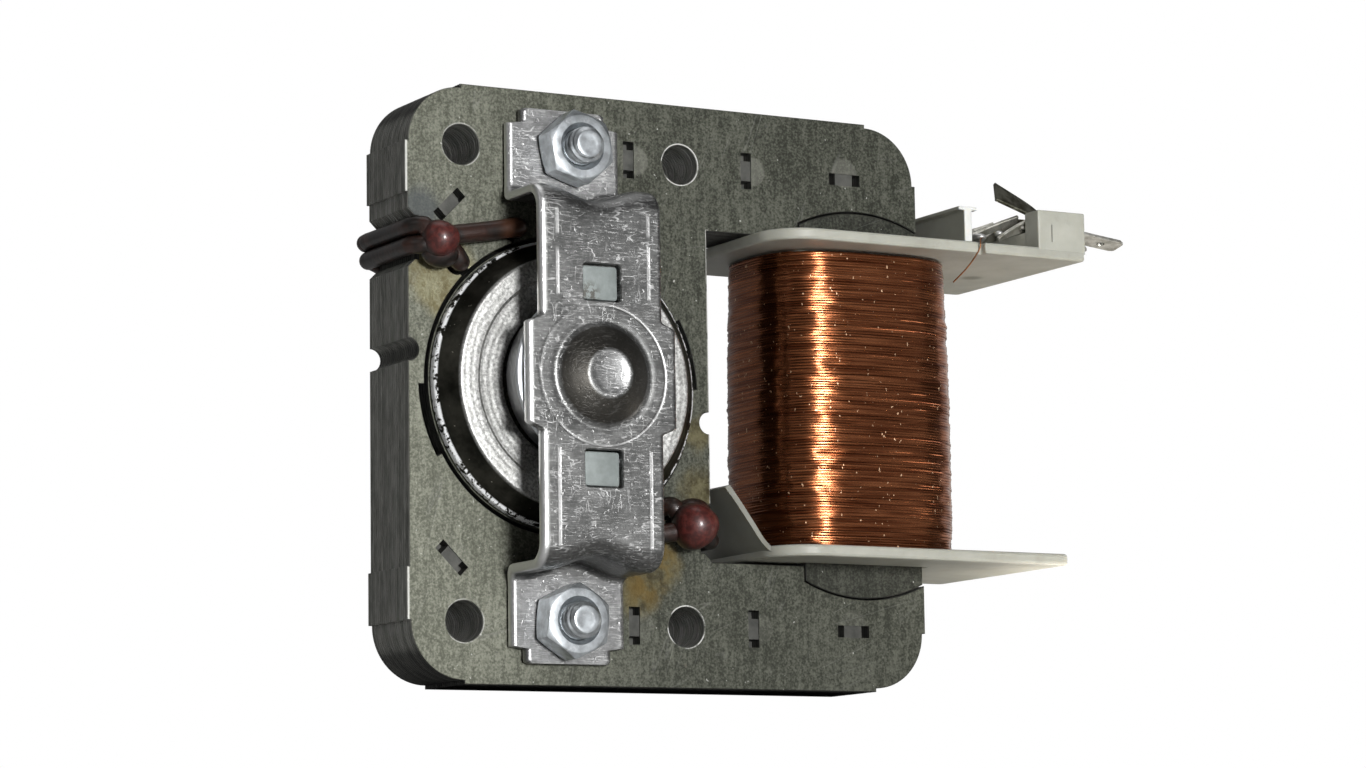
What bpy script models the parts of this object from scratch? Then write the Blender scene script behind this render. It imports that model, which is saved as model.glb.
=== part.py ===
"""Shaded-pole fan motor of a refrigerator: square laminated frame with the coil on one side.

The rotor turns about the Y axis. X runs from the rotor towards the coil, Z is up, and the
closed bearing dome and the nuts look towards -Y. Lengths are metres. The stator lies on
Y = 0, and the frame stands on its lower edge at Z = 0, straight below the rotor.
"""
import bpy
import bmesh
import numpy as np
from math import acos, asin, atan2, copysign, cos, degrees, hypot, pi, radians, sin, sqrt
from mathutils import Matrix, Vector

MM = 0.001
SEAT_GAP = 0.3 * MM            # clearance kept between pieces that rest on each other

# Stator frame, seen from the front: a square lamination with the bore left of its middle
LAMINATION = 0.5 * MM
LAMINATION_COUNT = 19
BORE_RADIUS = 15.9 * MM
POLE_WALL = 2.1 * MM           # iron left and right of the bore
BORE_TO_HOLE = 9.1 * MM        # from the bore up to the row of mounting holes
HOLE_EDGE = 6.5 * MM           # from a mounting hole to the frame's edge
HOLE_DIAMETER = 4.3 * MM
INNER_HOLE_X = 14.8 * MM       # second pair of mounting holes, from the rotor axis
CORNER_RELIEF = 0.4 * MM       # the round corners stand back from the edges
PAD_GAP = 1.65 * MM            # from the shading slot to the raised pad of the left side
SIDE_RELIEF = 0.3 * MM
NOTCH_RADIUS = 1.2 * MM
NOTCH_HEIGHT = 3.0 * MM
POLE_RECESS = 0.65 * MM        # widened air gap at the leading edge of each pole
POLE_RECESS_START = 2.0
POLE_RECESS_END = 29.0
INTERLOCK_LENGTH = 4.0 * MM    # stamped slits that lock the laminations together
INTERLOCK_WIDTH = 1.3 * MM
INTERLOCK_DEPTH = 0.4 * MM
# each slit of the upper half: x, height above the row of holes, direction in degrees
INTERLOCKS = ((-12.9 * MM, -6.5 * MM, 45), (8.5 * MM, 0.0, 90), (23.1 * MM, 0.0, 90),
              (35.7 * MM, 0.0, 0))

# Window for the coil and the bar that closes it
WINDOW_WIDTH = 27.0 * MM
WINDOW_HEIGHT = 36.0 * MM
CORE_WIDTH = 15.0 * MM
CORE_ENTRY = 3.3 * MM          # how far the bar's crowned ends enter the arms
CORE_CROWN_RADIUS = 17.4 * MM
CORE_FIT = 0.2 * MM

# Shading coils: two copper loops each, in a slot of the side and two pockets of the bore
WIRE_DIAMETER = 1.8 * MM
WIRE_PITCH = 2.1 * MM
WIRE_BEND = 1.5 * MM
WIRE_CLEARANCE = 0.35 * MM
SLOT_LIP = 0.8 * MM
SLOT_MARGIN = 0.15 * MM        # from the slot's lip to the window's corner
POCKET_ANGLES = (108.6, 134.2)
POCKET_WALL = 0.15 * MM        # iron between pocket and bore before the neck is cut
POCKET_NECK = 1.0 * MM
LOOP_LIFT = 0.2 * MM           # wires stand off the stack by this beyond the seat gap
WELD_LIFT = 0.9 * MM           # and by this at the weld
WELD_RADIUS = 1.85 * MM
WELD_INSET = 2.7 * MM          # from the left side of the frame
WELD_DROP = 0.45 * MM          # below the middle of the slot
WELD_SPREAD = 0.45             # share of their pitch that the wires keep in the weld

# Bearing brackets
SHEET = 1.0 * MM
STANDOFF = 9.5 * MM            # raised face of a bracket above the stack
ARM_WIDTH = 14.3 * MM
MIDDLE_WIDTH = 17.5 * MM
MIDDLE_HEIGHT = 10.3 * MM
MIDDLE_SHOULDER = 0.8 * MM     # height of the slope from middle to arm
BLANK_ROUNDING = 0.8 * MM
TONGUE_ROUNDING = 0.6 * MM
RISER_TO_SCREW = 4.9 * MM      # from the riser's outer face up to the clamp screw
BEND_RADIUS = 1.5 * MM
FOOT_WIDTH = 13.3 * MM
FOOT_REACH = 2.7 * MM          # beyond the clamp screw
TONGUE_WIDTH = 10.0 * MM
TONGUE_REACH = 4.3 * MM
SCOOP_RADIUS = 6.2 * MM        # hollow round the nut
DOME_RADIUS = 5.5 * MM
DOME_TOP_RADIUS = 2.7 * MM
DOME_HEIGHT = 1.75 * MM
HATCH = (4.4 * MM, 3.9 * MM)   # square windows for the retainer's tabs
HATCH_OFFSET = 0.3 * MM        # from the retainer's rim to the middle of a window
HATCH_ROUNDING = 0.4 * MM

# Fasteners
THREAD_DIAMETER = 4.0 * MM
CLAMP_OFFSET = 0.5 * MM        # the two clamp screws stand point-symmetric about the bore
NUT_FLATS = 7.0 * MM
NUT_HEIGHT = 3.0 * MM
SCREW_TIP = 1.6 * MM           # thread that shows past the nut
SCREW_CHAMFER = 0.5 * MM
HEAD_DIAMETER = 7.2 * MM
HEAD_HEIGHT = 2.4 * MM
RECESS_WIDTH = 0.9 * MM
RECESS_LENGTH = 4.0 * MM
RECESS_DEPTH = 1.3 * MM
NUT_CHAMFER = 0.45             # share of the corner's overhang over the flats

# Bearings, retainers and felts
SHAFT_DIAMETER = 3.2 * MM
SHAFT_REAR_LENGTH = 20.0 * MM  # beyond the rear bracket
SHAFT_CHAMFER = 0.4 * MM
BEARING_SPHERE = 4.4 * MM
BEARING_LENGTH = 5.8 * MM
BEARING_DEPTH = 0.25 * MM      # end of the bearing past the sheet's outer face, inwards
RETAINER_SHEET = 0.6 * MM
RETAINER_CUP = 8.0 * MM
RETAINER_RIM = 0.8 * MM
RETAINER_DEPTH = 4.35 * MM
TAB_PLAY = 0.4 * MM
FELT_PLAY = 0.4 * MM
WASHER_RADIUS = 3.6 * MM
WASHER_THICKNESS = 0.4 * MM
SPACER_RADIUS = 3.0 * MM

# Rotor
AIR_GAP = 0.4 * MM
BAR_COUNT = 16
BAR_RADIUS = 1.0 * MM
BAR_DEPTH = 2.2 * MM           # from the rotor's surface to the middle of a bar
SKEW_SLICES = 2
RING_HEIGHT = 3.2 * MM
RING_TAPER = 2.0 * MM          # the end rings narrow by this towards their flat faces
RING_FACE = 1.9 * MM
RING_SHELF = 3.2 * MM          # inner part of the flat face, a step lower
RING_STEP = 0.3 * MM
RING_DRAFT = 0.3 * MM          # the rings' bore narrows by this towards the core
RING_EDGE = 0.2 * MM

# Bobbin and winding
FLANGE = 1.25 * MM
FLANGE_BACK = 14.9 * MM        # from the middle of the core to the left
FLANGE_DEPTH = 25.9 * MM
FLANGE_CORNER = 5.0 * MM       # left corners; the right ones are small
FLANGE_EDGE = 0.8 * MM
LOWER_FLANGE_REACH = 21.6 * MM # from the middle of the core to the right
SHELF_REACH = 24.9 * MM
TUBE_WALL = 0.9 * MM
TUBE_CORNER = 0.9 * MM
COIL_BUILD = 2.95 * MM         # thickness of the winding at the middle of each side
COIL_POWER = 3.0               # 2 would wind to an ellipse, and more makes it squarer
COIL_FACETS = 32
COIL_TAPER = 0.35 * MM         # the winding is a little slimmer at its top
COIL_BOW = 0.25 * MM           # and bulges at its middle
# outside of the flap, from the left end of the lower flange's underside
FLAP_STEPS = ((0.7 * MM, 0.0), (-1.3 * MM, 1.9 * MM), (-5.5 * MM, 7.3 * MM))
FLAP_THICKNESS = 0.9 * MM

# Terminal shelf at the top right of the bobbin, from the shelf's right end and its top
BLOCK_WIDTH = 6.3 * MM
BLOCK_HEIGHT = 4.2 * MM
BLOCK_FLOOR_RISE = 2.0 * MM
FRONT_WALL = 2.7 * MM
MIDDLE_WALL = 1.8 * MM
TERMINAL_WIDTH = 2.5 * MM
TERMINAL_SHEET = 0.5 * MM
TAB_REACH = 7.6 * MM
TAB_DROOP = 0.8 * MM
TAB_HOLE = 1.3 * MM
TAIL_SETBACK = 12.3 * MM
TAIL_RISE = 1.0 * MM
TAPER_SETBACK = 7.8 * MM       # where the tail begins to taper
TONGUE_SETBACK = 9.2 * MM
TONGUE_RISE = 7.6 * MM
TONGUE_FOOT = (2.8 * MM, 1.0 * MM)
POST_SETBACK = 14.65 * MM
POST_WIDTH = 0.95 * MM
POST_HEIGHT = 4.3 * MM
POST_CAP = (2.4 * MM, 0.45 * MM)
POST_FRONT = 10.8 * MM         # in front of the stack's middle
POST_REAR = 2.0 * MM
NOTCH_SETBACK = 14.35 * MM     # the lead's notch in the rim
LEAD_NOTCH = 0.9 * MM

# Measures worked out from the values above
STACK = LAMINATION * LAMINATION_COUNT
FRONT = STACK / 2
WINDOW_LEFT = BORE_RADIUS + POLE_WALL
WINDOW_HALF = WINDOW_HEIGHT / 2
LEFT = -WINDOW_LEFT
RIGHT = WINDOW_LEFT + WINDOW_WIDTH
HOLE_LEFT = LEFT + HOLE_EDGE
HOLE_RIGHT = RIGHT - HOLE_EDGE
HOLE_Z = BORE_RADIUS + BORE_TO_HOLE
HALF = HOLE_Z + HOLE_EDGE
AXIS_HEIGHT = HALF
CORE_RIGHT = RIGHT - CORE_FIT
CORE_LEFT = CORE_RIGHT - CORE_WIDTH
CORE_MIDDLE = (CORE_LEFT + CORE_RIGHT) / 2
CORE_PEAK = WINDOW_HALF + CORE_ENTRY
WIRE = WIRE_DIAMETER / 2
POCKET = WIRE + WIRE_CLEARANCE
SLOT_HALF = WIRE_PITCH / 2 + POCKET
SLOT_HEIGHT = WINDOW_HALF - SLOT_MARGIN - SLOT_LIP - SLOT_HALF
SLOT_FLOOR = LEFT + SIDE_RELIEF + POCKET
WELD_PLACE = (LEFT + WELD_INSET, SLOT_HEIGHT - WELD_DROP)
WIRE_FRONT = FRONT + SEAT_GAP + WIRE
RISER_HEIGHT = HOLE_Z - RISER_TO_SCREW
FOOT_END = HOLE_Z + FOOT_REACH
TONGUE_END = HOLE_Z + TONGUE_REACH
FOOT_INNER = FRONT + SEAT_GAP
FOOT_OUTER = FOOT_INNER + SHEET
FACE_OUTER = FRONT + STANDOFF
FACE_INNER = FACE_OUTER - SHEET
CLAMP_HOLE = THREAD_DIAMETER / 2 + SEAT_GAP
SHAFT = SHAFT_DIAMETER / 2
SHAFT_BORE = SHAFT + SEAT_GAP
RETAINER_RADIUS = RETAINER_CUP + RETAINER_SHEET + RETAINER_RIM
HATCH_HEIGHT = RETAINER_RADIUS + HATCH_OFFSET
ROTOR_RADIUS = BORE_RADIUS - AIR_GAP
BAR_CIRCLE = ROTOR_RADIUS - BAR_DEPTH
SKEW = 360 / BAR_COUNT         # degrees from front to rear, one slot pitch
FLANGE_OUTER = WINDOW_HALF - SEAT_GAP
FLANGE_INNER = FLANGE_OUTER - FLANGE
FLANGE_FRONT = FLANGE_DEPTH / 2
FLANGE_LEFT = CORE_MIDDLE - FLANGE_BACK
SHELF_RIGHT = CORE_MIDDLE + SHELF_REACH
BLOCK_LEFT = SHELF_RIGHT - BLOCK_WIDTH
BLOCK_TOP = FLANGE_OUTER + BLOCK_HEIGHT
BLOCK_FLOOR = FLANGE_OUTER + BLOCK_FLOOR_RISE
TERMINAL_END = SHELF_RIGHT + TAB_REACH
TAIL_TIP = (SHELF_RIGHT - TAIL_SETBACK, FLANGE_OUTER + TAIL_RISE)
TONGUE_TIP = (SHELF_RIGHT - TONGUE_SETBACK, FLANGE_OUTER + TONGUE_RISE)
POST_LEFT = SHELF_RIGHT - POST_SETBACK
POST_TOP = FLANGE_OUTER + POST_HEIGHT
CHANNEL = TERMINAL_WIDTH + 2 * SEAT_GAP
FIRST_TERMINAL_Y = -FLANGE_FRONT + FRONT_WALL + CHANNEL / 2
SECOND_TERMINAL_Y = FIRST_TERMINAL_Y + CHANNEL + MIDDLE_WALL
OVERLAP = 1.0 * MM             # how far a cutter reaches past what it cuts
FACE_STEP = 0.01 * MM          # keeps joined faces out of one plane
LARGE_STEPS = 44               # facets round the rotor
MEDIUM_STEPS = 24              # round retainers and hollows
SMALL_STEPS = 18               # round bearings, domes, nuts and shaft
HOLE_STEPS = 14                # round screws and their holes

STEEL = ("electrical steel", (0.30, 0.31, 0.29), 0.45, 0.9)
PLATED = ("zinc plated steel", (0.62, 0.65, 0.67), 0.3, 1.0)
PRESSED = ("pressed bright sheet", (0.66, 0.66, 0.66), 0.35, 1.0)
ALUMINIUM = ("cast aluminium", (0.60, 0.60, 0.59), 0.4, 1.0)
COPPER = ("enamelled copper wire", (0.52, 0.22, 0.08), 0.3, 0.9)
ENAMEL = ("dark red enamel", (0.16, 0.035, 0.025), 0.25, 0.1)
PLASTIC = ("off-white plastic", (0.72, 0.71, 0.66), 0.45, 0.0)
TINNED = ("tinned brass", (0.50, 0.49, 0.42), 0.35, 1.0)
BRONZE = ("sintered bronze", (0.42, 0.30, 0.16), 0.5, 0.9)
FELT = ("oiled felt", (0.45, 0.38, 0.24), 0.9, 0.0)
FIBRE = ("fibre washer", (0.35, 0.24, 0.13), 0.7, 0.0)


def clear_scene():
    for thing in list(bpy.data.objects):
        bpy.data.objects.remove(thing, do_unlink=True)


def material(finish):
    name, colour, roughness, metallic = finish
    if name in bpy.data.materials:
        return bpy.data.materials[name]
    made = bpy.data.materials.new(name)
    made.use_nodes = True
    shader = made.node_tree.nodes["Principled BSDF"]
    shader.inputs["Base Color"].default_value = (*colour, 1.0)
    shader.inputs["Roughness"].default_value = roughness
    shader.inputs["Metallic"].default_value = metallic
    made.diffuse_color = (*colour, 1.0)
    return made


def add_object(name, bm, finish, parent=None):
    """Turn a bmesh into a linked object; its origin is the rotor axis at mid stack."""
    mesh = bpy.data.meshes.new(name)
    bmesh.ops.recalc_face_normals(bm, faces=bm.faces)
    bm.to_mesh(mesh)
    bm.free()
    made = bpy.data.objects.new(name, mesh)
    bpy.context.scene.collection.objects.link(made)
    made.parent = parent
    if finish:
        mesh.materials.append(material(finish))
    mesh.shade_smooth()
    mesh.set_sharp_from_angle(angle=radians(35))
    return made


def cut(target, tool, operation="DIFFERENCE"):
    """Cut, join or intersect with a hidden tool through a live Boolean modifier."""
    tool.hide_render = True
    tool.display_type = "WIRE"
    step = target.modifiers.new(operation.lower(), "BOOLEAN")
    step.operation = operation
    step.object = tool


def arc(middle, radius, start, end, steps):
    """Points of an arc in a plane, both ends included, angles in degrees."""
    return [(middle[0] + radius * cos(radians(a)), middle[1] + radius * sin(radians(a)))
            for a in np.linspace(start, end, steps + 1)]


def circle(middle, radius, steps):
    return arc(middle, radius, 0.0, 360.0, steps)[:-1]


def box_outline(low, high):
    return [(low[0], low[1]), (high[0], low[1]), (high[0], high[1]), (low[0], high[1])]


def rounded(corners, radii, steps=4):
    """A closed outline whose corners are replaced by arcs; radius 0 keeps a corner."""
    outline = []
    for index, corner in enumerate(corners):
        radius = radii[index] if isinstance(radii, (list, tuple)) else radii
        if radius == 0:
            outline.append(corner)
            continue
        here = Vector(corner)
        before = (Vector(corners[index - 1]) - here).normalized()
        after = (Vector(corners[(index + 1) % len(corners)]) - here).normalized()
        half_angle = before.angle(after) / 2
        middle = here + (before + after).normalized() * radius / sin(half_angle)
        first = here + before * radius / np.tan(half_angle) - middle
        last = here + after * radius / np.tan(half_angle) - middle
        start = atan2(first.y, first.x)
        turn = (atan2(last.y, last.x) - start + pi) % (2 * pi) - pi
        for part in np.linspace(0.0, 1.0, steps + 1):
            angle = start + turn * part
            outline.append((middle.x + radius * cos(angle), middle.y + radius * sin(angle)))
    return outline


def mirrored(outline):
    """The same outline turned upside down, still running the same way round."""
    return [(x, -z) for x, z in reversed(outline)]


def half_turned(outline):
    return [(-x, -z) for x, z in outline]


PLANES = {"X": lambda a, b, c: (c, a, b), "Y": lambda a, b, c: (a, c, b),
          "Z": lambda a, b, c: (a, b, c)}


def prism_mesh(bm, outer, holes, low, high, axis="Y", twist=0.0, slices=1):
    """Fill an outline with holes and draw it out along an axis, turning it as it goes."""
    place = PLANES[axis]
    edges = []
    for loop in [outer, *holes]:
        verts = [bm.verts.new(place(a, b, low)) for a, b in loop]
        edges += [bm.edges.new((verts[i - 1], verts[i])) for i in range(len(verts))]
    filled = bmesh.ops.triangle_fill(bm, edges=edges, use_beauty=True)
    faces = [item for item in filled["geom"] if isinstance(item, bmesh.types.BMFace)]
    step = Vector(place(0.0, 0.0, (high - low) / slices))
    turn = Matrix.Rotation(radians(twist) / slices, 3, axis)
    for index in range(slices):
        drawn = bmesh.ops.extrude_face_region(bm, geom=faces, use_keep_orig=True)
        if index > 0:
            bmesh.ops.delete(bm, geom=faces, context="FACES_KEEP_BOUNDARY")
        verts = [item for item in drawn["geom"] if isinstance(item, bmesh.types.BMVert)]
        bmesh.ops.rotate(bm, verts=verts, cent=(0, 0, 0), matrix=turn)
        bmesh.ops.translate(bm, verts=verts, vec=step)
        faces = [item for item in drawn["geom"] if isinstance(item, bmesh.types.BMFace)]


def prism(name, outer, low, high, finish=None, holes=(), axis="Y", parent=None, **turning):
    bm = bmesh.new()
    prism_mesh(bm, outer, holes, low, high, axis, **turning)
    return add_object(name, bm, finish, parent)


def turned(name, profile, steps, finish=None, parent=None, closed=True, middle=(0.0, 0.0)):
    """Spin a profile of (radius, y) points about an axis along Y through middle (x, z)."""
    bm = bmesh.new()
    verts = [bm.verts.new((radius, y, 0.0)) for radius, y in profile]
    pairs = list(zip(verts, verts[1:])) + ([(verts[-1], verts[0])] if closed else [])
    edges = [bm.edges.new(pair) for pair in pairs]
    bmesh.ops.spin(bm, geom=verts + edges, cent=(0, 0, 0), axis=(0, 1, 0),
                   angle=2 * pi, steps=steps)
    bmesh.ops.remove_doubles(bm, verts=bm.verts, dist=1e-6)
    bmesh.ops.translate(bm, verts=bm.verts, vec=(middle[0], 0.0, middle[1]))
    return add_object(name, bm, finish, parent)


def flipped(profile, side):
    """A turned profile for the front (side -1) or the rear (side +1) of the motor."""
    return [(radius, side * y) for radius, y in profile]


def pocket_outline(angle):
    """Keyhole from the bore out to the pocket of a shading wire, in order of angle."""
    reach = BORE_RADIUS + POCKET_WALL + POCKET
    middle = (reach * cos(radians(angle)), reach * sin(radians(angle)))
    opening = degrees(asin(POCKET_NECK / 2 / POCKET))
    return arc(middle, POCKET, angle + 180 + opening, angle + 540 - opening, 11)


def bore_outline():
    """The bore with its widened pole edges and shading pockets, twice over half a turn."""
    neck = degrees(asin(POCKET_NECK / 2 / BORE_RADIUS))
    half = arc((0, 0), BORE_RADIUS + POLE_RECESS, POLE_RECESS_START, POLE_RECESS_END, 4)
    start = POLE_RECESS_END
    for angle in POCKET_ANGLES:
        steps = max(2, round((angle - start) / 8))
        half += arc((0, 0), BORE_RADIUS, start, angle - neck, steps)
        half += pocket_outline(angle)
        start = angle + neck
    half += arc((0, 0), BORE_RADIUS, start, 180 + POLE_RECESS_START, 6)
    return half + half_turned(half)


def side_features():
    """The left side of the lamination from bottom to top: pads, notch and shading slot."""
    wall = LEFT + SIDE_RELIEF
    low, high = SLOT_HEIGHT - SLOT_HALF, SLOT_HEIGHT + SLOT_HALF
    pad = high + SLOT_LIP + PAD_GAP
    return ([(LEFT, -HOLE_Z), (LEFT, -pad), (wall, -pad)]
            + arc((wall, NOTCH_HEIGHT), NOTCH_RADIUS, -90, 90, 8)
            + [(wall, low - SLOT_LIP), (wall + SLOT_LIP, low), (SLOT_FLOOR, low),
               (SLOT_FLOOR, high), (wall + SLOT_LIP, high), (wall, high + SLOT_LIP),
               (wall, pad), (LEFT, pad), (LEFT, HOLE_Z)])


def window_side():
    """Left edge of the coil window from top to bottom, the side features turned round."""
    wall = WINDOW_LEFT
    low, high = SLOT_HEIGHT - SLOT_HALF, SLOT_HEIGHT + SLOT_HALF
    floor = wall - POCKET
    return ([(wall, WINDOW_HALF)]
            + arc((wall, -NOTCH_HEIGHT), NOTCH_RADIUS, 90, 270, 8)
            + [(wall, SLOT_LIP - low), (wall - SLOT_LIP, -low), (floor, -low),
               (floor, -high), (wall - SLOT_LIP, -high), (wall, -high - SLOT_LIP),
               (wall, -WINDOW_HALF)])


def crown(clearance):
    """Curved end of the coil bar from its right to its left corner."""
    radius = CORE_CROWN_RADIUS + clearance
    middle = (CORE_MIDDLE, CORE_PEAK - CORE_CROWN_RADIUS)
    half_width = CORE_WIDTH / 2 + clearance
    spread = degrees(asin(half_width / radius))
    return arc(middle, radius, 90 - spread, 90 + spread, 8)


def frame_outline():
    """Outer edge of the C-shaped lamination, clockwise from its lower left corner."""
    radius = HOLE_EDGE - CORNER_RELIEF
    top_left = arc((HOLE_LEFT, HOLE_Z), radius, 180, 90, 8)
    top_right = arc((HOLE_RIGHT, HOLE_Z), radius, 90, 0, 8)
    seat = crown(CORE_FIT)
    upper = (top_left + [(HOLE_LEFT, HALF), (HOLE_RIGHT, HALF)] + top_right
             + [(RIGHT, HOLE_Z), (RIGHT, seat[0][1])] + seat[1:]
             + [(CORE_LEFT - CORE_FIT, WINDOW_HALF)])
    return side_features() + upper + window_side() + mirrored(upper)


def interlock_cutters():
    """Shallow stamped slits that lock the laminations together."""
    bm = bmesh.new()
    for x, rise, angle in INTERLOCKS:
        for side in (1, -1):
            along = Vector((cos(radians(angle)), side * sin(radians(angle))))
            across = Vector((-along.y, along.x)) * INTERLOCK_WIDTH / 2
            along *= INTERLOCK_LENGTH / 2
            middle = Vector((x, side * (HOLE_Z + rise)))
            slit = [tuple(middle + along * a + across * b)
                    for a, b in ((-1, -1), (1, -1), (1, 1), (-1, 1))]
            prism_mesh(bm, slit, [], -FRONT - OVERLAP, -FRONT + INTERLOCK_DEPTH)
    return add_object("interlock_cutters", bm, None, stator)


def make_stack():
    """C-shaped stack of laminations with its bore, pockets, holes and interlocks."""
    holes = [circle((x, z), HOLE_DIAMETER / 2, HOLE_STEPS)
             for x in (HOLE_LEFT, INNER_HOLE_X) for z in (HOLE_Z, -HOLE_Z)]
    holes += [circle((side * CLAMP_OFFSET, side * HOLE_Z), CLAMP_HOLE, HOLE_STEPS)
              for side in (1, -1)]
    stack = prism("stator_stack", frame_outline(), -FRONT, FRONT, STEEL,
                  [bore_outline(), *holes], parent=stator)
    cut(stack, interlock_cutters())


def make_core():
    """Laminated bar through the coil, with crowned ends that seat in the frame's arms."""
    end = crown(0.0)
    prism("coil_core", end + mirrored(end), -FRONT, FRONT, STEEL, parent=stator)


def rounded_path(points, radius, steps):
    """A closed path in space whose corners are replaced by arcs."""
    path = []
    for index, point in enumerate(points):
        here = Vector(point)
        before = (Vector(points[index - 1]) - here).normalized()
        after = (Vector(points[(index + 1) % len(points)]) - here).normalized()
        half_angle = before.angle(after) / 2
        if half_angle > radians(80):
            path.append(here)
            continue
        middle = here + (before + after).normalized() * radius / sin(half_angle)
        first = here + before * radius / np.tan(half_angle) - middle
        last = here + after * radius / np.tan(half_angle) - middle
        normal = first.cross(last).normalized()
        sweep = first.angle(last)
        for part in np.linspace(0.0, 1.0, steps + 1):
            path.append(middle + Matrix.Rotation(sweep * part, 3, normal) @ first)
    return path


def tube_mesh(bm, path, radius, sides):
    """Closed tube round a closed path; its rings are carried along without twisting."""
    count = len(path)
    tangents = [(path[(i + 1) % count] - path[i - 1]).normalized() for i in range(count)]
    normal = tangents[0].orthogonal().normalized()
    normals = []
    for tangent in tangents:
        normal = (normal - tangent * normal.dot(tangent)).normalized()
        normals.append(normal)
    leftover = tangents[0].dot(normals[-1].cross(normals[0]))
    closing = atan2(leftover, normals[-1].dot(normals[0]))
    rings = []
    for i, (point, tangent, normal) in enumerate(zip(path, tangents, normals)):
        across = Matrix.Rotation(closing * i / count, 3, tangent) @ normal
        turn = [Matrix.Rotation(2 * pi * s / sides, 3, tangent) for s in range(sides)]
        rings.append([bm.verts.new(point + spin @ across * radius) for spin in turn])
    for i in range(count):
        for s in range(sides):
            corner = rings[i - 1][s - 1], rings[i - 1][s], rings[i][s], rings[i][s - 1]
            bm.faces.new(corner)


def shading_loop(name, side, pocket_angle, offset, finish=None):
    """One loop: along the slot, past the weld, through its pocket and back behind."""
    reach = BORE_RADIUS + POCKET_WALL + POCKET
    pocket = (reach * cos(radians(pocket_angle)), reach * sin(radians(pocket_angle)))
    slot = (SLOT_FLOOR - POCKET, SLOT_HEIGHT + offset)
    run = WIRE_FRONT + LOOP_LIFT
    weld = WIRE_FRONT + WELD_LIFT
    points = [(slot[0], -run, slot[1]),
              (WELD_PLACE[0], -weld, WELD_PLACE[1] + WELD_SPREAD * offset),
              (pocket[0], -run, pocket[1]), (pocket[0], run, pocket[1]),
              (slot[0], run, slot[1])]
    points = [(side * x, y, side * z) for x, y, z in points]
    bm = bmesh.new()
    tube_mesh(bm, rounded_path(points, WIRE_BEND, 3), WIRE, 8)
    return add_object(name, bm, finish, stator)


def make_shading_coil(name, side):
    """Two wire loops round a pole tip, fused into one weld bead on the front."""
    far, near = POCKET_ANGLES
    coil = shading_loop(name, side, far, WIRE_PITCH / 2, ENAMEL)
    cut(coil, shading_loop(name + "_inner_loop", side, near, -WIRE_PITCH / 2), "UNION")
    bm = bmesh.new()
    bmesh.ops.create_uvsphere(bm, u_segments=12, v_segments=8, radius=WELD_RADIUS)
    bead_y = -FRONT - SEAT_GAP - WELD_RADIUS
    place = (side * WELD_PLACE[0], bead_y, side * WELD_PLACE[1])
    bmesh.ops.translate(bm, verts=bm.verts, vec=place)
    cut(coil, add_object(name + "_weld_bead", bm, None, stator), "UNION")


def bracket_side_profile():
    """Edge view of a bracket: foot, riser, raised face, riser, foot, as one bent sheet."""
    inner = BEND_RADIUS - SHEET / 2
    outer = BEND_RADIUS + SHEET / 2
    outside = [(FOOT_OUTER, TONGUE_END), (FOOT_OUTER, RISER_HEIGHT),
               (FACE_OUTER, RISER_HEIGHT)]
    inside = [(FACE_INNER, RISER_HEIGHT - SHEET), (FOOT_INNER, RISER_HEIGHT - SHEET),
              (FOOT_INNER, TONGUE_END)]
    corners = (outside + [(y, -z) for y, z in reversed(outside)]
               + [(y, -z) for y, z in reversed(inside)] + inside)
    radii = [0, inner, outer, outer, inner, 0, 0, outer, inner, inner, outer, 0]
    return rounded(corners, radii, 3)


def bracket_front_outline():
    """Front view of a bracket: narrow tongues, feet, arms and the wider middle."""
    shoulder = FOOT_WIDTH / 2
    quarter = [(MIDDLE_WIDTH / 2, MIDDLE_HEIGHT / 2),
               (ARM_WIDTH / 2, MIDDLE_HEIGHT / 2 + MIDDLE_SHOULDER),
               (ARM_WIDTH / 2, RISER_HEIGHT - SHEET), (shoulder, RISER_HEIGHT + SHEET),
               (shoulder, FOOT_END), (TONGUE_WIDTH / 2, FOOT_END),
               (TONGUE_WIDTH / 2, TONGUE_END)]
    radii = [BLANK_ROUNDING] * 5 + [TONGUE_ROUNDING / 2, TONGUE_ROUNDING]
    right = quarter + [(-x, z) for x, z in reversed(quarter)]
    corners = right + [(-x, -z) for x, z in quarter] + [(x, -z) for x, z in reversed(quarter)]
    radii = radii + radii[::-1]
    return rounded(corners, radii + radii, 2)


def scoop_outline(upward):
    """Crescent wall behind the hollow in the riser, as a band of a ring."""
    spread = degrees(acos((HOLE_Z - RISER_HEIGHT) / SCOOP_RADIUS))
    middle = (0.0, upward * HOLE_Z)
    down = -90 * upward
    outer = arc(middle, SCOOP_RADIUS + SHEET, down - spread, down + spread, 8)
    inner = arc(middle, SCOOP_RADIUS - SHEET / 2, down + spread, down - spread, 8)
    return outer + inner


def span(side, low, high):
    """Two distances from mid stack, towards side, as a low and a high y."""
    return min(side * low, side * high), max(side * low, side * high)


def crown_curve(outer, inner, low, high, steps=3):
    """Quarter of an ellipse in a turned profile, from its rim up to its flat top."""
    return [(inner + (outer - inner) * cos(a), low + (high - low) * sin(a))
            for a in np.linspace(0.0, pi / 2, steps + 1)]


def dome_tool(name, side, radius, top_radius, foot, face):
    """Solid dome that stands on the plane y = face and reaches back to y = foot."""
    curve = crown_curve(radius, top_radius, face, face + DOME_HEIGHT)
    profile = [(0.0, foot), (radius, foot), *curve, (0.0, face + DOME_HEIGHT)]
    return turned(name, flipped(profile, side), SMALL_STEPS, parent=stator, closed=False)


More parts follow.
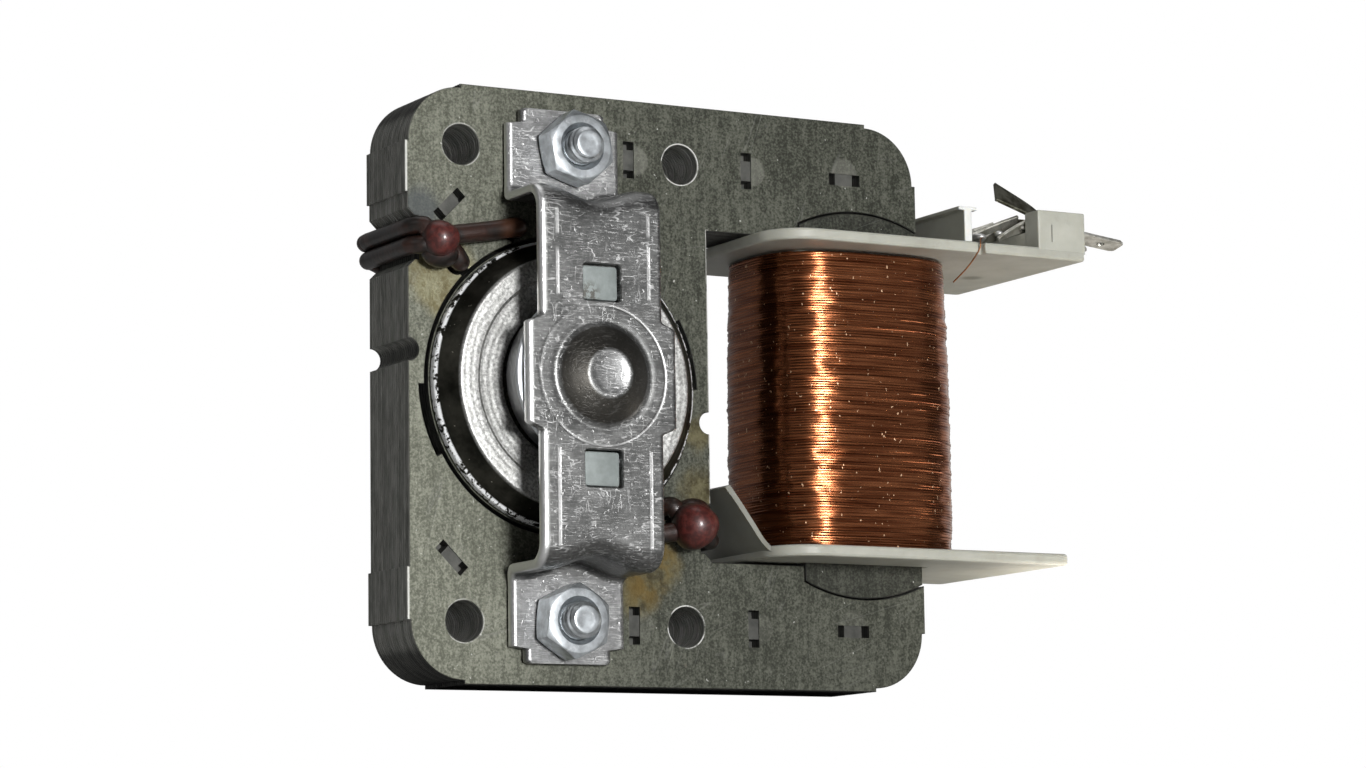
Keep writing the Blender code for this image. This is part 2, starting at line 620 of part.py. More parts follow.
def bracket_openings(name, side, open_dome):
    """Square windows, screw holes and, where the shaft comes out, the hole in the dome."""
    tools = bmesh.new()
    through = span(side, FOOT_INNER - OVERLAP, FACE_OUTER + OVERLAP)
    for upward in (1, -1):
        low = (-HATCH[0] / 2, upward * HATCH_HEIGHT - HATCH[1] / 2)
        high = (HATCH[0] / 2, upward * HATCH_HEIGHT + HATCH[1] / 2)
        prism_mesh(tools, rounded(box_outline(low, high), HATCH_ROUNDING, 2), [], *through)
        screw = circle((upward * CLAMP_OFFSET, upward * HOLE_Z), CLAMP_HOLE, HOLE_STEPS)
        prism_mesh(tools, screw, [], *through)
    if open_dome:
        beyond = span(side, FACE_OUTER, FACE_OUTER + DOME_HEIGHT + OVERLAP)
        prism_mesh(tools, circle((0.0, 0.0), SHAFT_BORE + SEAT_GAP, HOLE_STEPS), [], *beyond)
    return add_object(name + "_openings", tools, None, stator)


def make_bracket(name, side, open_dome):
    """Pressed bearing bracket; side -1 is the front, and open_dome lets the shaft out."""
    profile = [(side * y, z) for y, z in bracket_side_profile()]
    sheet = prism(name, profile, -MIDDLE_WIDTH, MIDDLE_WIDTH, PRESSED, axis="X", parent=stator)
    outline = prism(name + "_outline", bracket_front_outline(),
                    *span(side, FOOT_INNER - OVERLAP, FACE_OUTER + OVERLAP), parent=stator)
    cut(sheet, outline, "INTERSECT")
    walls = bmesh.new()
    for upward in (1, -1):
        prism_mesh(walls, scoop_outline(upward), [],
                   *span(side, FOOT_OUTER - SHEET / 2, FACE_OUTER - SHEET / 2))
    cut(sheet, add_object(name + "_scoop_walls", walls, None, stator), "UNION")
    for place, upward in (("upper", 1), ("lower", -1)):
        hollow = circle((0.0, upward * HOLE_Z), SCOOP_RADIUS, MEDIUM_STEPS)
        cut(sheet, prism(f"{name}_{place}_hollow", hollow,
                         *span(side, FOOT_OUTER, FACE_OUTER + OVERLAP), parent=stator))
    cut(sheet, dome_tool(name + "_dome", side, DOME_RADIUS, DOME_TOP_RADIUS,
                         FACE_OUTER - SHEET / 2, FACE_OUTER), "UNION")
    cut(sheet, dome_tool(name + "_cup", side, DOME_RADIUS - SHEET, DOME_TOP_RADIUS - SHEET / 2,
                         FACE_INNER - OVERLAP, FACE_INNER))
    cut(sheet, bracket_openings(name, side, open_dome))


def bearing_middle():
    """Distance of the bearing's middle from the stack's middle."""
    return FACE_OUTER - BEARING_DEPTH - BEARING_LENGTH / 2


def make_bearing(name, side):
    """Sintered bush with a spherical outside, so that it can align itself."""
    middle = bearing_middle()
    half = BEARING_LENGTH / 2
    lean = degrees(asin(half / BEARING_SPHERE))
    ball = arc((0.0, middle), BEARING_SPHERE, -lean, lean, 5)
    bush = [(SHAFT_BORE, middle - half), *ball, (SHAFT_BORE, middle + half)]
    turned(name, flipped(bush, side), SMALL_STEPS, BRONZE, stator)


def make_retainer(name, side):
    """Pressed cup behind the bracket that holds bearing and felt, with two staked tabs."""
    top = FACE_INNER - SEAT_GAP
    low = top - RETAINER_DEPTH
    sheet = RETAINER_SHEET
    drop = bearing_middle() - (low + sheet)
    hole = sqrt(BEARING_SPHERE ** 2 - drop ** 2) + SEAT_GAP
    cup = [(hole, low), (RETAINER_CUP + sheet, low), (RETAINER_CUP + 2 * sheet, top - sheet),
           (RETAINER_RADIUS, top - sheet), (RETAINER_RADIUS, top),
           (RETAINER_CUP + sheet, top), (RETAINER_CUP, low + sheet), (hole, low + sheet)]
    retainer = turned(name, flipped(cup, side), MEDIUM_STEPS, PLATED, stator)
    play = TAB_PLAY
    tab_side = HATCH[0] / 2 - play
    tab_low = HATCH_HEIGHT - HATCH[1] / 2 + play
    tab_high = HATCH_HEIGHT + HATCH[1] / 2 - play
    root = RETAINER_CUP + 2 * sheet
    profile = [(top - sheet, root - 0.5 * sheet), (top, root - 0.5 * sheet), (top, tab_low),
               (FACE_OUTER - sheet, tab_low), (FACE_OUTER - sheet, tab_high),
               (top - sheet, tab_high)]
    tabs = bmesh.new()
    for upward in (1, -1):
        outline = [(side * y, upward * z) for y, z in profile]
        prism_mesh(tabs, outline, [], -tab_side, tab_side, "X")
    cut(retainer, add_object(name + "_tabs", tabs, None, stator), "UNION")


def make_felt(name, side):
    """Oil-soaked ring round the bearing, inside the retainer."""
    top = FACE_INNER - 2 * SEAT_GAP
    low = FACE_INNER - SEAT_GAP - RETAINER_DEPTH + RETAINER_SHEET + SEAT_GAP
    inner = BEARING_SPHERE + SEAT_GAP
    outer = RETAINER_CUP - FELT_PLAY
    ring = [(inner, low), (outer, low), (outer, top), (inner, top)]
    turned(name, flipped(ring, side), SMALL_STEPS, FELT, stator)


def make_screw(name, upward):
    """Pan-headed clamp screw from the rear foot to past the front nut."""
    head = FOOT_OUTER + SEAT_GAP
    tip = -(FOOT_OUTER + SEAT_GAP + NUT_HEIGHT + SCREW_TIP)
    shank = THREAD_DIAMETER / 2
    rim = HEAD_DIAMETER / 2
    crest = crown_curve(rim, rim / 2, head + HEAD_HEIGHT / 2, head + HEAD_HEIGHT)
    profile = [(0.0, tip), (shank - SCREW_CHAMFER, tip), (shank, tip + SCREW_CHAMFER),
               (shank, head), (rim, head), *crest, (0.0, head + HEAD_HEIGHT)]
    middle = (upward * CLAMP_OFFSET, upward * HOLE_Z)
    screw = turned(name, profile, HOLE_STEPS, PLATED, stator, closed=False, middle=middle)
    cross = bmesh.new()
    top = head + HEAD_HEIGHT
    half, arm = RECESS_WIDTH / 2, RECESS_LENGTH / 2
    plus = [(arm, -half), (arm, half), (half, half), (half, arm), (-half, arm), (-half, half),
            (-arm, half), (-arm, -half), (-half, -half), (-half, -arm), (half, -arm), (half, -half)]
    plus = [(middle[0] + x, middle[1] + z) for x, z in plus]
    prism_mesh(cross, plus, [], top - RECESS_DEPTH, top + OVERLAP)
    cut(screw, add_object(name + "_recess", cross, None, stator))


def make_nut(name, upward, turn):
    """Hexagon nut with chamfered corners, seated on the front foot."""
    low = -(FOOT_OUTER + SEAT_GAP + NUT_HEIGHT)
    high = -(FOOT_OUTER + SEAT_GAP)
    middle = (upward * CLAMP_OFFSET, upward * HOLE_Z)
    corner = NUT_FLATS / 2 / cos(pi / 6)
    hexagon = arc(middle, corner, turn, turn + 300, 5)
    bore = circle(middle, THREAD_DIAMETER / 2 + SEAT_GAP, HOLE_STEPS)
    nut = prism(name, hexagon, low, high, PLATED, [bore], parent=stator)
    face = NUT_FLATS / 2
    slope = NUT_CHAMFER * (corner - face)
    barrel = [(0.0, low), (face, low), (corner, low + slope), (corner, high - slope),
              (face, high), (0.0, high)]
    cut(nut, turned(name + "_chamfer", barrel, SMALL_STEPS, parent=stator, closed=False, middle=middle),
        "INTERSECT")


def bar_circles(radius, steps):
    """Round outlines of the rotor bars on their pitch circle."""
    middles = circle((0.0, 0.0), BAR_CIRCLE, BAR_COUNT)
    return [circle(middle, radius, steps) for middle in middles]


def make_rotor():
    """Laminated rotor with skewed slots, the cage cast through them, shaft and spacers."""
    holes = bar_circles(BAR_RADIUS + SEAT_GAP, 8) + [circle((0, 0), SHAFT_BORE, HOLE_STEPS)]
    prism("rotor_core", circle((0, 0), ROTOR_RADIUS, LARGE_STEPS), -FRONT, FRONT, STEEL, holes,
          parent=rotor, twist=SKEW, slices=SKEW_SLICES)
    foot = FRONT + SEAT_GAP
    top = foot + RING_HEIGHT
    edge = RING_EDGE
    face = ROTOR_RADIUS - RING_TAPER
    crest = face - RING_FACE
    bore = crest - RING_SHELF
    ring = [(bore - RING_DRAFT, foot), (ROTOR_RADIUS - edge, foot),
            (ROTOR_RADIUS - edge, foot + edge), (face, top - edge), (face - edge, top),
            (crest, top), (crest - RING_STEP, top - RING_STEP), (bore, top - RING_STEP)]
    cage = turned("rotor_cage", flipped(ring, -1), LARGE_STEPS, ALUMINIUM, rotor)
    cut(cage, turned("rotor_cage_rear_ring", flipped(ring, 1), LARGE_STEPS, parent=rotor), "UNION")
    bars = bmesh.new()
    overrun = SEAT_GAP + RING_HEIGHT / 2
    lean = SKEW * (1 + 2 * overrun / STACK)
    for outline in bar_circles(BAR_RADIUS, 6):
        prism_mesh(bars, outline, [], -FRONT - overrun, FRONT + overrun, "Y", twist=lean,
                   slices=SKEW_SLICES)
    back_turn = Matrix.Rotation(-radians(SKEW) * overrun / STACK, 3, "Y")
    bmesh.ops.rotate(bars, verts=bars.verts, cent=(0, 0, 0), matrix=back_turn)
    cut(cage, add_object("rotor_cage_bars", bars, None, rotor), "UNION")

    front_end = -(FACE_INNER + DOME_HEIGHT - 2 * SEAT_GAP)
    rear_end = FACE_OUTER + SHAFT_REAR_LENGTH
    tip = SHAFT - SHAFT_CHAMFER
    pin = [(0.0, front_end), (tip, front_end), (SHAFT, front_end + SHAFT_CHAMFER),
           (SHAFT, rear_end - SHAFT_CHAMFER), (tip, rear_end), (0.0, rear_end)]
    turned("shaft", pin, SMALL_STEPS, PLATED, rotor, closed=False)
    for name, side in (("front", -1), ("rear", 1)):
        washer_top = bearing_middle() - BEARING_LENGTH / 2 - SEAT_GAP
        washer_low = washer_top - WASHER_THICKNESS
        washer = [(SHAFT_BORE, washer_low), (WASHER_RADIUS, washer_low),
                  (WASHER_RADIUS, washer_top), (SHAFT_BORE, washer_top)]
        turned(name + "_thrust_washer", flipped(washer, side), SMALL_STEPS, FIBRE, rotor)
        spacer_top = washer_low - SEAT_GAP
        sleeve = [(SHAFT_BORE, foot), (SPACER_RADIUS, foot), (SPACER_RADIUS, spacer_top),
                  (SHAFT_BORE, spacer_top)]
        turned(name + "_spacer", flipped(sleeve, side), SMALL_STEPS, PLATED, rotor)


def coil_outline(half_x, half_y, radius, steps=5):
    corners = box_outline((CORE_MIDDLE - half_x, -half_y), (CORE_MIDDLE + half_x, half_y))
    return rounded(corners, radius, steps)


def bulged_outline(half_x, half_y, power, count):
    """Superellipse round the core's middle, the shape that turns on a square tube settle into."""
    points = []
    for k in range(count):
        turn = 2 * pi * k / count
        reach_x, reach_y = (copysign(abs(part) ** (2 / power), part) for part in (cos(turn), sin(turn)))
        points.append((CORE_MIDDLE + half_x * reach_x, half_y * reach_y))
    return points


def tube_half():
    """Half sizes of the bobbin's tube, outside."""
    return (CORE_WIDTH / 2 + SEAT_GAP + TUBE_WALL, FRONT + SEAT_GAP + TUBE_WALL)


def make_winding():
    """Copper winding as one solid that bulges on each side, slightly slimmer at its top."""
    tube = tube_half()
    inner = coil_outline(tube[0] + SEAT_GAP, tube[1] + SEAT_GAP, TUBE_CORNER + SEAT_GAP, 2)
    build = SEAT_GAP + COIL_BUILD
    outer = bulged_outline(tube[0] + build, tube[1] + build, COIL_POWER, COIL_FACETS)
    reach = FLANGE_INNER - SEAT_GAP
    coil = prism("winding", outer, -reach, reach, COPPER, [inner], "Z", parent=stator, slices=4)
    for vert in coil.data.vertices:
        x, y, z = vert.co
        if abs(x - CORE_MIDDLE) > tube[0] + 2 * SEAT_GAP or abs(y) > tube[1] + 2 * SEAT_GAP:
            swell = COIL_BOW * (1 - (z / reach) ** 2) - COIL_TAPER * (z / reach + 1) / 2
            distance = hypot(x - CORE_MIDDLE, y)
            vert.co.x += swell * (x - CORE_MIDDLE) / distance
            vert.co.y += swell * y / distance


def upper_flange_outline():
    corners = box_outline((FLANGE_LEFT, -FLANGE_FRONT), (SHELF_RIGHT, FLANGE_FRONT))
    return rounded(corners, [FLANGE_CORNER, FLANGE_EDGE, FLANGE_EDGE, FLANGE_CORNER], 5)


def lower_flange_outline():
    right = CORE_MIDDLE + LOWER_FLANGE_REACH
    corners = box_outline((FLANGE_LEFT, -FLANGE_FRONT), (right, FLANGE_FRONT))
    return rounded(corners, [FLANGE_CORNER, FLANGE_EDGE, FLANGE_EDGE, FLANGE_CORNER], 5)


def flap_outline():
    """Edge view of the flap that rises from the lower flange in front of the frame."""
    outer = [Vector((FLANGE_LEFT + x, z - FLANGE_OUTER)) for x, z in FLAP_STEPS]
    ways = [(b - a).normalized() for a, b in zip(outer, outer[1:])]
    sides = [Vector((way.y, -way.x)) for way in (ways[0], (ways[0] + ways[1]).normalized(), ways[1])]
    inner = [point + side * FLAP_THICKNESS for point, side in zip(outer, sides)]
    return [tuple(p) for p in outer + inner[::-1]]


def make_bobbin():
    """Moulded bobbin: tube, two flanges, flap, post and the walls of the terminal shelf."""
    tube = tube_half()
    join = FLANGE / 2
    bobbin = prism("bobbin", coil_outline(*tube, TUBE_CORNER, 2), -FLANGE_INNER - join,
                   FLANGE_INNER + join, PLASTIC, axis="Z", parent=stator)

    def add(label, *args, **kwargs):
        cut(bobbin, prism("bobbin_" + label, *args, parent=stator, **kwargs), "UNION")

    add("upper_flange", upper_flange_outline(), FLANGE_INNER, FLANGE_OUTER, axis="Z")
    add("lower_flange", lower_flange_outline(), -FLANGE_OUTER, -FLANGE_INNER, axis="Z")
    add("flap", flap_outline(), -FLANGE_FRONT + FLANGE_CORNER / 2, -FRONT - SEAT_GAP)
    rise = FLANGE_OUTER - join
    add("block", box_outline((BLOCK_LEFT, rise), (SHELF_RIGHT - FACE_STEP, BLOCK_TOP)),
        -FLANGE_FRONT + FACE_STEP, SECOND_TERMINAL_Y + CHANNEL / 2 + FRONT_WALL)
    middle = POST_LEFT + POST_WIDTH / 2
    cap = POST_CAP[0] / 2
    post = [(POST_LEFT, rise), (POST_LEFT + POST_WIDTH, rise),
            (POST_LEFT + POST_WIDTH, POST_TOP - POST_CAP[1]), (middle + cap, POST_TOP - POST_CAP[1]),
            (middle + cap, POST_TOP), (middle - cap, POST_TOP),
            (middle - cap, POST_TOP - POST_CAP[1]), (POST_LEFT, POST_TOP - POST_CAP[1])]
    add("post", post, -POST_FRONT, POST_REAR)
    tools = bmesh.new()
    hollow = (CORE_WIDTH / 2 + SEAT_GAP, FRONT + SEAT_GAP)
    prism_mesh(tools, coil_outline(*hollow, SEAT_GAP, 1), [], -WINDOW_HALF, WINDOW_HALF, "Z")
    for y in (FIRST_TERMINAL_Y, SECOND_TERMINAL_Y):
        channel = box_outline((BLOCK_LEFT - OVERLAP, BLOCK_FLOOR),
                              (SHELF_RIGHT + OVERLAP, BLOCK_TOP + OVERLAP))
        prism_mesh(tools, channel, [], y - CHANNEL / 2, y + CHANNEL / 2)
    left = SHELF_RIGHT - NOTCH_SETBACK
    notch = box_outline((left, -FLANGE_FRONT - OVERLAP), (left + LEAD_NOTCH, -FLANGE_FRONT + LEAD_NOTCH))
    prism_mesh(tools, notch, [], FLANGE_INNER - OVERLAP, FLANGE_OUTER + OVERLAP, "Z")
    cut(bobbin, add_object("bobbin_cutters", tools, None, stator))


def terminal_side(tongue):
    """Edge view of a terminal: drooping tab, flat in its channel, and a sloping tail."""
    low = BLOCK_FLOOR + SEAT_GAP
    sheet = TERMINAL_SHEET
    bend = SHELF_RIGHT + sheet
    side_view = [(TERMINAL_END, low - TAB_DROOP), (TERMINAL_END, low + sheet - TAB_DROOP),
                 (bend, low + sheet)]
    if tongue:
        left, right = (SHELF_RIGHT - setback for setback in TONGUE_FOOT)
        tip = Vector(TONGUE_TIP)
        way = (tip - Vector(((left + right) / 2, low))).normalized()
        over = tip + Vector((way.y, -way.x)) * sheet
        side_view += [(right, low + sheet), tuple(over), TONGUE_TIP, (left, low + sheet)]
    return side_view + [(BLOCK_LEFT, low + sheet), (TAIL_TIP[0], TAIL_TIP[1] + sheet), TAIL_TIP,
                        (BLOCK_LEFT, low), (bend, low)]


def make_terminal(name, y, tongue):
    """Stamped terminal: tab to the right, sloping tail to the left, and a raised tongue."""
    half = TERMINAL_WIDTH / 2
    terminal = prism(name, terminal_side(tongue), y - half, y + half, TINNED, parent=stator)
    point = TERMINAL_WIDTH / 4
    wide = half + FACE_STEP
    front = [(TERMINAL_END + OVERLAP, point), (TERMINAL_END - point, wide),
             (SHELF_RIGHT - TAPER_SETBACK, wide), (TAIL_TIP[0] - OVERLAP, point)]
    plan = [(x, y - b) for x, b in front] + [(x, y + b) for x, b in reversed(front)]
    hole = circle((TERMINAL_END - TERMINAL_WIDTH, y), TAB_HOLE / 2, HOLE_STEPS)
    blank = prism(name + "_plan", plan, TAIL_TIP[1] - OVERLAP, TONGUE_TIP[1] + OVERLAP,
                  holes=[hole], axis="Z", parent=stator)
    cut(terminal, blank, "INTERSECT")


def make_stator():
    make_stack()
    make_core()
    make_shading_coil("shading_coil_upper", 1)
    make_shading_coil("shading_coil_lower", -1)
    make_bobbin()
    make_winding()
    make_terminal("terminal_front", FIRST_TERMINAL_Y, True)
    make_terminal("terminal_rear", SECOND_TERMINAL_Y, False)
    for name, side in (("front", -1), ("rear", 1)):
        make_bracket(name + "_bracket", side, open_dome=side > 0)
        make_bearing(name + "_bearing", side)
        make_retainer(name + "_retainer", side)
        make_felt(name + "_oil_felt", side)
    for name, upward, turn in (("upper", 1, 12), ("lower", -1, -4)):
        make_screw("clamp_screw_" + name, upward)
        make_nut("clamp_nut_" + name, upward, turn)


def add_empty(name):
    """An empty on the rotor axis at mid stack, which carries a body's pieces."""
    made = bpy.data.objects.new(name, None)
    made.location = (0.0, 0.0, AXIS_HEIGHT)
    bpy.context.scene.collection.objects.link(made)
    return made


clear_scene()
stator = add_empty("stator")
rotor = add_empty("rotor")
make_stator()
make_rotor()
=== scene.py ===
"""A refrigerator's fan motor, dressed for its photograph: laminated frame, coil, bearing
brackets, shading coils and rotor. Shapes are worked out in millimetres from the rotor axis at
mid stack: x runs towards the coil, y along the shaft to the rear, z up."""
import bpy
import bmesh
import numpy as np
from math import acos, asin, atan2, cos, degrees, pi, radians, sin
from mathutils import Matrix, Vector
from mathutils.geometry import tessellate_polygon


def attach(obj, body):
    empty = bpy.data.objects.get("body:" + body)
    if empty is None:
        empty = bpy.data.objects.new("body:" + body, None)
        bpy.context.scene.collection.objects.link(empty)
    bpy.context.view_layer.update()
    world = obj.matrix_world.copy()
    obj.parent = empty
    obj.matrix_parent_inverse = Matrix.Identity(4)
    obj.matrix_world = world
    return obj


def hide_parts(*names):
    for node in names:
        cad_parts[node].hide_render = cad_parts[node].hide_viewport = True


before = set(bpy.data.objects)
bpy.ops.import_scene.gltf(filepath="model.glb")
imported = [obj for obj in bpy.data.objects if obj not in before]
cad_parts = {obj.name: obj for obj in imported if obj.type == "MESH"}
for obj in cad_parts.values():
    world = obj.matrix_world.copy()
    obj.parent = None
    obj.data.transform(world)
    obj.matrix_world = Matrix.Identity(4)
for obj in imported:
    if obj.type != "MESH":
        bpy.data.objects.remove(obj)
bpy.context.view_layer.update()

MM = 0.001
HALF = 31.5                             # half the frame's height
AXIS = HALF                             # the rotor axis above the base
LEFT, RIGHT = -18.0, 45.0               # the frame's sides
SHEETS, PITCH = 19, 0.5                 # laminations and their thickness
FRONT = SHEETS * PITCH / 2              # half the stack
HOLE_X, HOLE_Z = (-11.5, 14.8), 25.0    # mounting holes
SCREW_X = 0.5                           # the upper clamp screw; the lower one is half a turn on
BORE = 15.9                             # radius between the poles' recesses
POCKETS = (108.6, 134.2)                # angles of the bore's keyholes for the shading coils
POCKET, NECK = 1.25, 1.0                # a keyhole's radius and the width of its mouth
POCKET_REACH = BORE + 0.15 + POCKET     # from the rotor axis to a keyhole's middle
SLOT_Z = 14.75                          # middle of the shading slot in the frame's side
WINDOW = 18.0                           # the coil's window: its left side and half its height
FACE = 14.25                            # outer face of a bracket, from mid stack
RISER_Z = 19.6                          # where a bracket's arm turns down to its foot
EYE_Z = 9.7                             # a bracket's square windows
FAINT_RING = 7.35                       # radius of the pressed line round a bracket's dome
RING_FOOT = 5.05                        # where the rotor's end rings begin
BARS, BAR_CIRCLE = 16, 13.3             # the cage's bars and the radius they stand on
CORE_X = 37.3                           # middle of the coil
FLANGE_TOP, FLANGE_LOW = 17.7, 16.45    # the bobbin's upper flange; the lower one mirrors it
TONGUE_Y = -8.7                         # the front terminal
ROOM, BEHIND, AMBIENT = 0.05, 0.22, 0.05    # brightness in front, behind, and for dull surfaces

# Middle and direction of the stamped slits that lock the sheets, upper half
INTERLOCKS = ((-12.9, 18.5, 45), (8.5, 25.0, 90), (23.1, 25.0, 90), (35.7, 25.0, 0))

# Oil and burns on the front sheet: x, z, radius that is full and radius where it ends
OIL = ((-14.5, 12.0, 1.0, 8.0), (-12.0, 8.8, 0.5, 5.5), (11.6, -18.6, 0.5, 5.4), (8.6, -22.0, 0.5, 4.4),
       (16.8, -10.5, 0.5, 5.5), (16.6, -4.0, 0.2, 3.8))
BURNS = ((9.6, -20.6, 0.3, 4.0), (11.8, -17.8, 0.3, 3.2))


# Shapes in a plane

def arc(middle, radius, start, end, steps):
    """Points on a circle, from a start to an end angle in degrees, both included."""
    turn = np.radians(np.linspace(start, end, steps + 1))
    return np.stack([middle[0] + radius * np.cos(turn), middle[1] + radius * np.sin(turn)], 1)


def circle(middle, radius, steps=48):
    """A whole turn of arc, without its doubled last point."""
    return arc(middle, radius, 0.0, 360.0, steps)[:-1]


def rounded(corners, radii, steps):
    """Outline whose corners give way to arcs that touch both sides; radius 0 keeps a corner."""
    corners = np.array(corners, float)
    radii = np.broadcast_to(radii, len(corners))
    parts = []
    for here, before, after, radius in zip(corners, np.roll(corners, 1, 0), np.roll(corners, -1, 0), radii):
        if radius == 0:
            parts.append(here[None])
            continue
        back = (before - here) / np.linalg.norm(before - here)
        on = (after - here) / np.linalg.norm(after - here)
        half = acos(np.clip(back @ on, -1, 1)) / 2
        middle = here + (back + on) / np.linalg.norm(back + on) * radius / sin(half)
        first, last = (here + way * radius / np.tan(half) - middle for way in (back, on))
        start = atan2(first[1], first[0])
        turn = (atan2(last[1], last[0]) - start + pi) % (2 * pi) - pi
        parts.append(arc(middle, radius, degrees(start), degrees(start + turn), steps))
    return np.concatenate(parts)


def box(low, high, radii, steps):
    """Rectangle between its low and its high corner, with rounded corners."""
    return rounded([low, (high[0], low[1]), high, (low[0], high[1])], radii, steps)


def oriented(loop, clockwise=False):
    """The loop without doubled points, turned to run anticlockwise or clockwise."""
    loop = np.array(loop, float)
    loop = loop[np.linalg.norm(loop - np.roll(loop, 1, 0), axis=1) > 1e-4]
    x, z = loop.T
    area = np.sum(x * np.roll(z, -1) - z * np.roll(x, -1))
    return loop[::-1] if (area < 0) != clockwise else loop


def inset(loop, amount):
    """Every point moved towards the loop's left by amount, along the mean of its edges' normals."""
    ahead = np.roll(loop, -1, 0) - loop
    ahead /= np.linalg.norm(ahead, axis=1, keepdims=True)
    behind = np.roll(ahead, 1, 0)
    ahead, behind = ahead[:, ::-1] * (-1, 1), behind[:, ::-1] * (-1, 1)
    mean = ahead + behind
    return loop + amount * mean / np.maximum(1 + np.sum(ahead * behind, 1, keepdims=True), 0.3)


# Shells: a pair of the points and a list of face arrays

def joined(*shells):
    """Several shells as one, with the later ones' face numbers moved on."""
    points, faces, count = [], [], 0
    for verts, parts in shells:
        points.append(verts)
        faces += [part + count for part in parts]
        count += len(verts)
    return np.concatenate(points), faces


def grid(points, close_u=False, close_v=False):
    """Quads over an array of points[u, v]; either way round may close on itself."""
    rows, columns = points.shape[:2]
    u = np.arange(rows - (not close_u))[:, None]
    v = np.arange(columns - (not close_v))[None, :]
    after_u, after_v = (u + 1) % rows, (v + 1) % columns
    quads = np.stack([u * columns + v, after_u * columns + v, after_u * columns + after_v,
                      u * columns + after_v], -1)
    return points.reshape(-1, 3), [quads.reshape(-1, 4)]


def fan(ring):
    """Triangles from each edge of a closed ring to the mean of its points."""
    count = len(ring)
    step = np.arange(count)
    return np.vstack([ring, ring.mean(0)]), [np.stack([step, (step + 1) % count, np.full(count, count)], 1)]


def lifted(loop, height, axis):
    """Plane points and their height as points in space, with the height along the axis."""
    flat = np.column_stack([loop, np.broadcast_to(height, len(loop))])
    return flat[:, {"Y": (0, 2, 1), "Z": (0, 1, 2)}[axis]]


def filled(loops, height, axis):
    """The flat face inside the first loop and outside the others."""
    fill = tessellate_polygon([[Vector((*point, 0)) for point in loop] for loop in loops])
    return lifted(np.concatenate(loops), height, axis), [np.array(fill)]


def plate(outline, layers, holes=(), axis="Y", sinks=()):
    """A flat body: its outline and holes are repeated at each layer's height, moved into the
    material by the layer's inset, joined layer to layer and closed by filled faces. A sink is
    an outline with a depth per point, pressed into the first face."""
    loops = [oriented(outline)] + [oriented(hole, True) for hole in holes]
    shells = []
    for loop in loops:
        rings = np.stack([lifted(inset(loop, step), height, axis) for height, step in layers])
        shells.append(grid(rings, close_v=True))
    pressed = [oriented(loop, True) for loop, _ in sinks]
    for (height, step), extra in ((layers[0], pressed), (layers[-1], [])):
        shells.append(filled([inset(loop, step) for loop in loops] + extra, height, axis))
    for loop, (_, depth) in zip(pressed, sinks):
        wall = np.stack([lifted(loop, layers[0][0] + down, axis) for down in (0, depth(loop))])
        half = len(loop) // 2
        shells += [grid(wall, close_v=True), grid(np.stack([wall[1][:half], wall[1][half:][::-1]]))]
    return joined(*shells)


def edge_layers(low, high, edge):
    """Layers of a plate with all edges broken by a two-facet rounding."""
    near = edge * 0.3
    return [(low, edge), (low + near, near), (low + edge, 0),
            (high - edge, 0), (high - near, near), (high, edge)]


def turned(profile, steps=96, closed=True, middle=(0.0, 0.0), flip=1):
    """A profile of (radius, y) points spun about an axis along y; flip -1 mirrors it to the
    front of the motor."""
    profile = np.array(profile, float)
    turn = np.linspace(0, 2 * pi, steps, endpoint=False)[:, None]
    radius, y = profile[None, :, 0], profile[None, :, 1] * flip
    points = [middle[0] + radius * np.cos(turn), y + 0 * turn, middle[1] + radius * np.sin(turn)]
    return grid(np.stack(points, -1), close_u=True, close_v=closed)


def ball(size, middle, sides, rows, lumps=0.0):
    """Ellipsoid over turn and lean, its radius swollen by lumps times
    sin(3 turn + 1) sin(lean)^2 + 0.8 cos(2 lean)."""
    turn = np.linspace(0, 2 * pi, sides, endpoint=False)[:, None]
    lean = np.linspace(0, pi, rows)
    swell = 1 + lumps * (np.sin(3 * turn + 1) * np.sin(lean) ** 2 + 0.8 * np.cos(2 * lean))
    unit = np.stack([np.sin(lean) * np.cos(turn), 0 * turn - np.cos(lean), np.sin(lean) * np.sin(turn)], -1)
    return grid(unit * swell[..., None] * size + middle, close_u=True)


def sweep(path, section, beside, closed=False):
    """Carries a closed section along a path. section[k, 0] runs along the sideways vector
    beside x tangent and section[k, 1] along the one square to both; it may change with the
    path as section[i, k]. Open ends are closed by a fan round their middle."""
    path = np.array(path, float)
    tangent = (np.roll(path, -1, 0) - np.roll(path, 1, 0)) if closed else np.gradient(path, axis=0)
    tangent /= np.linalg.norm(tangent, axis=1, keepdims=True)
    across = np.cross(np.broadcast_to(beside, path.shape), tangent)
    across /= np.linalg.norm(across, axis=1, keepdims=True)
    upward = np.cross(tangent, across)
    section = np.broadcast_to(section, (len(path), *np.shape(section)[-2:]))
    rings = path[:, None] + section[..., :1] * across[:, None] + section[..., 1:] * upward[:, None]
    shells = [grid(rings, close_u=closed, close_v=True)]
    if not closed:
        shells += [fan(rings[0]), fan(rings[-1])]
    return joined(*shells)


def tube(path, radius, beside, sides, closed=False):
    """Round wire along a path; the radius may change from point to point."""
    ring = circle((0, 0), 1.0, sides)
    return sweep(path, np.asarray(radius, float).reshape(-1, 1, 1) * ring, beside, closed)


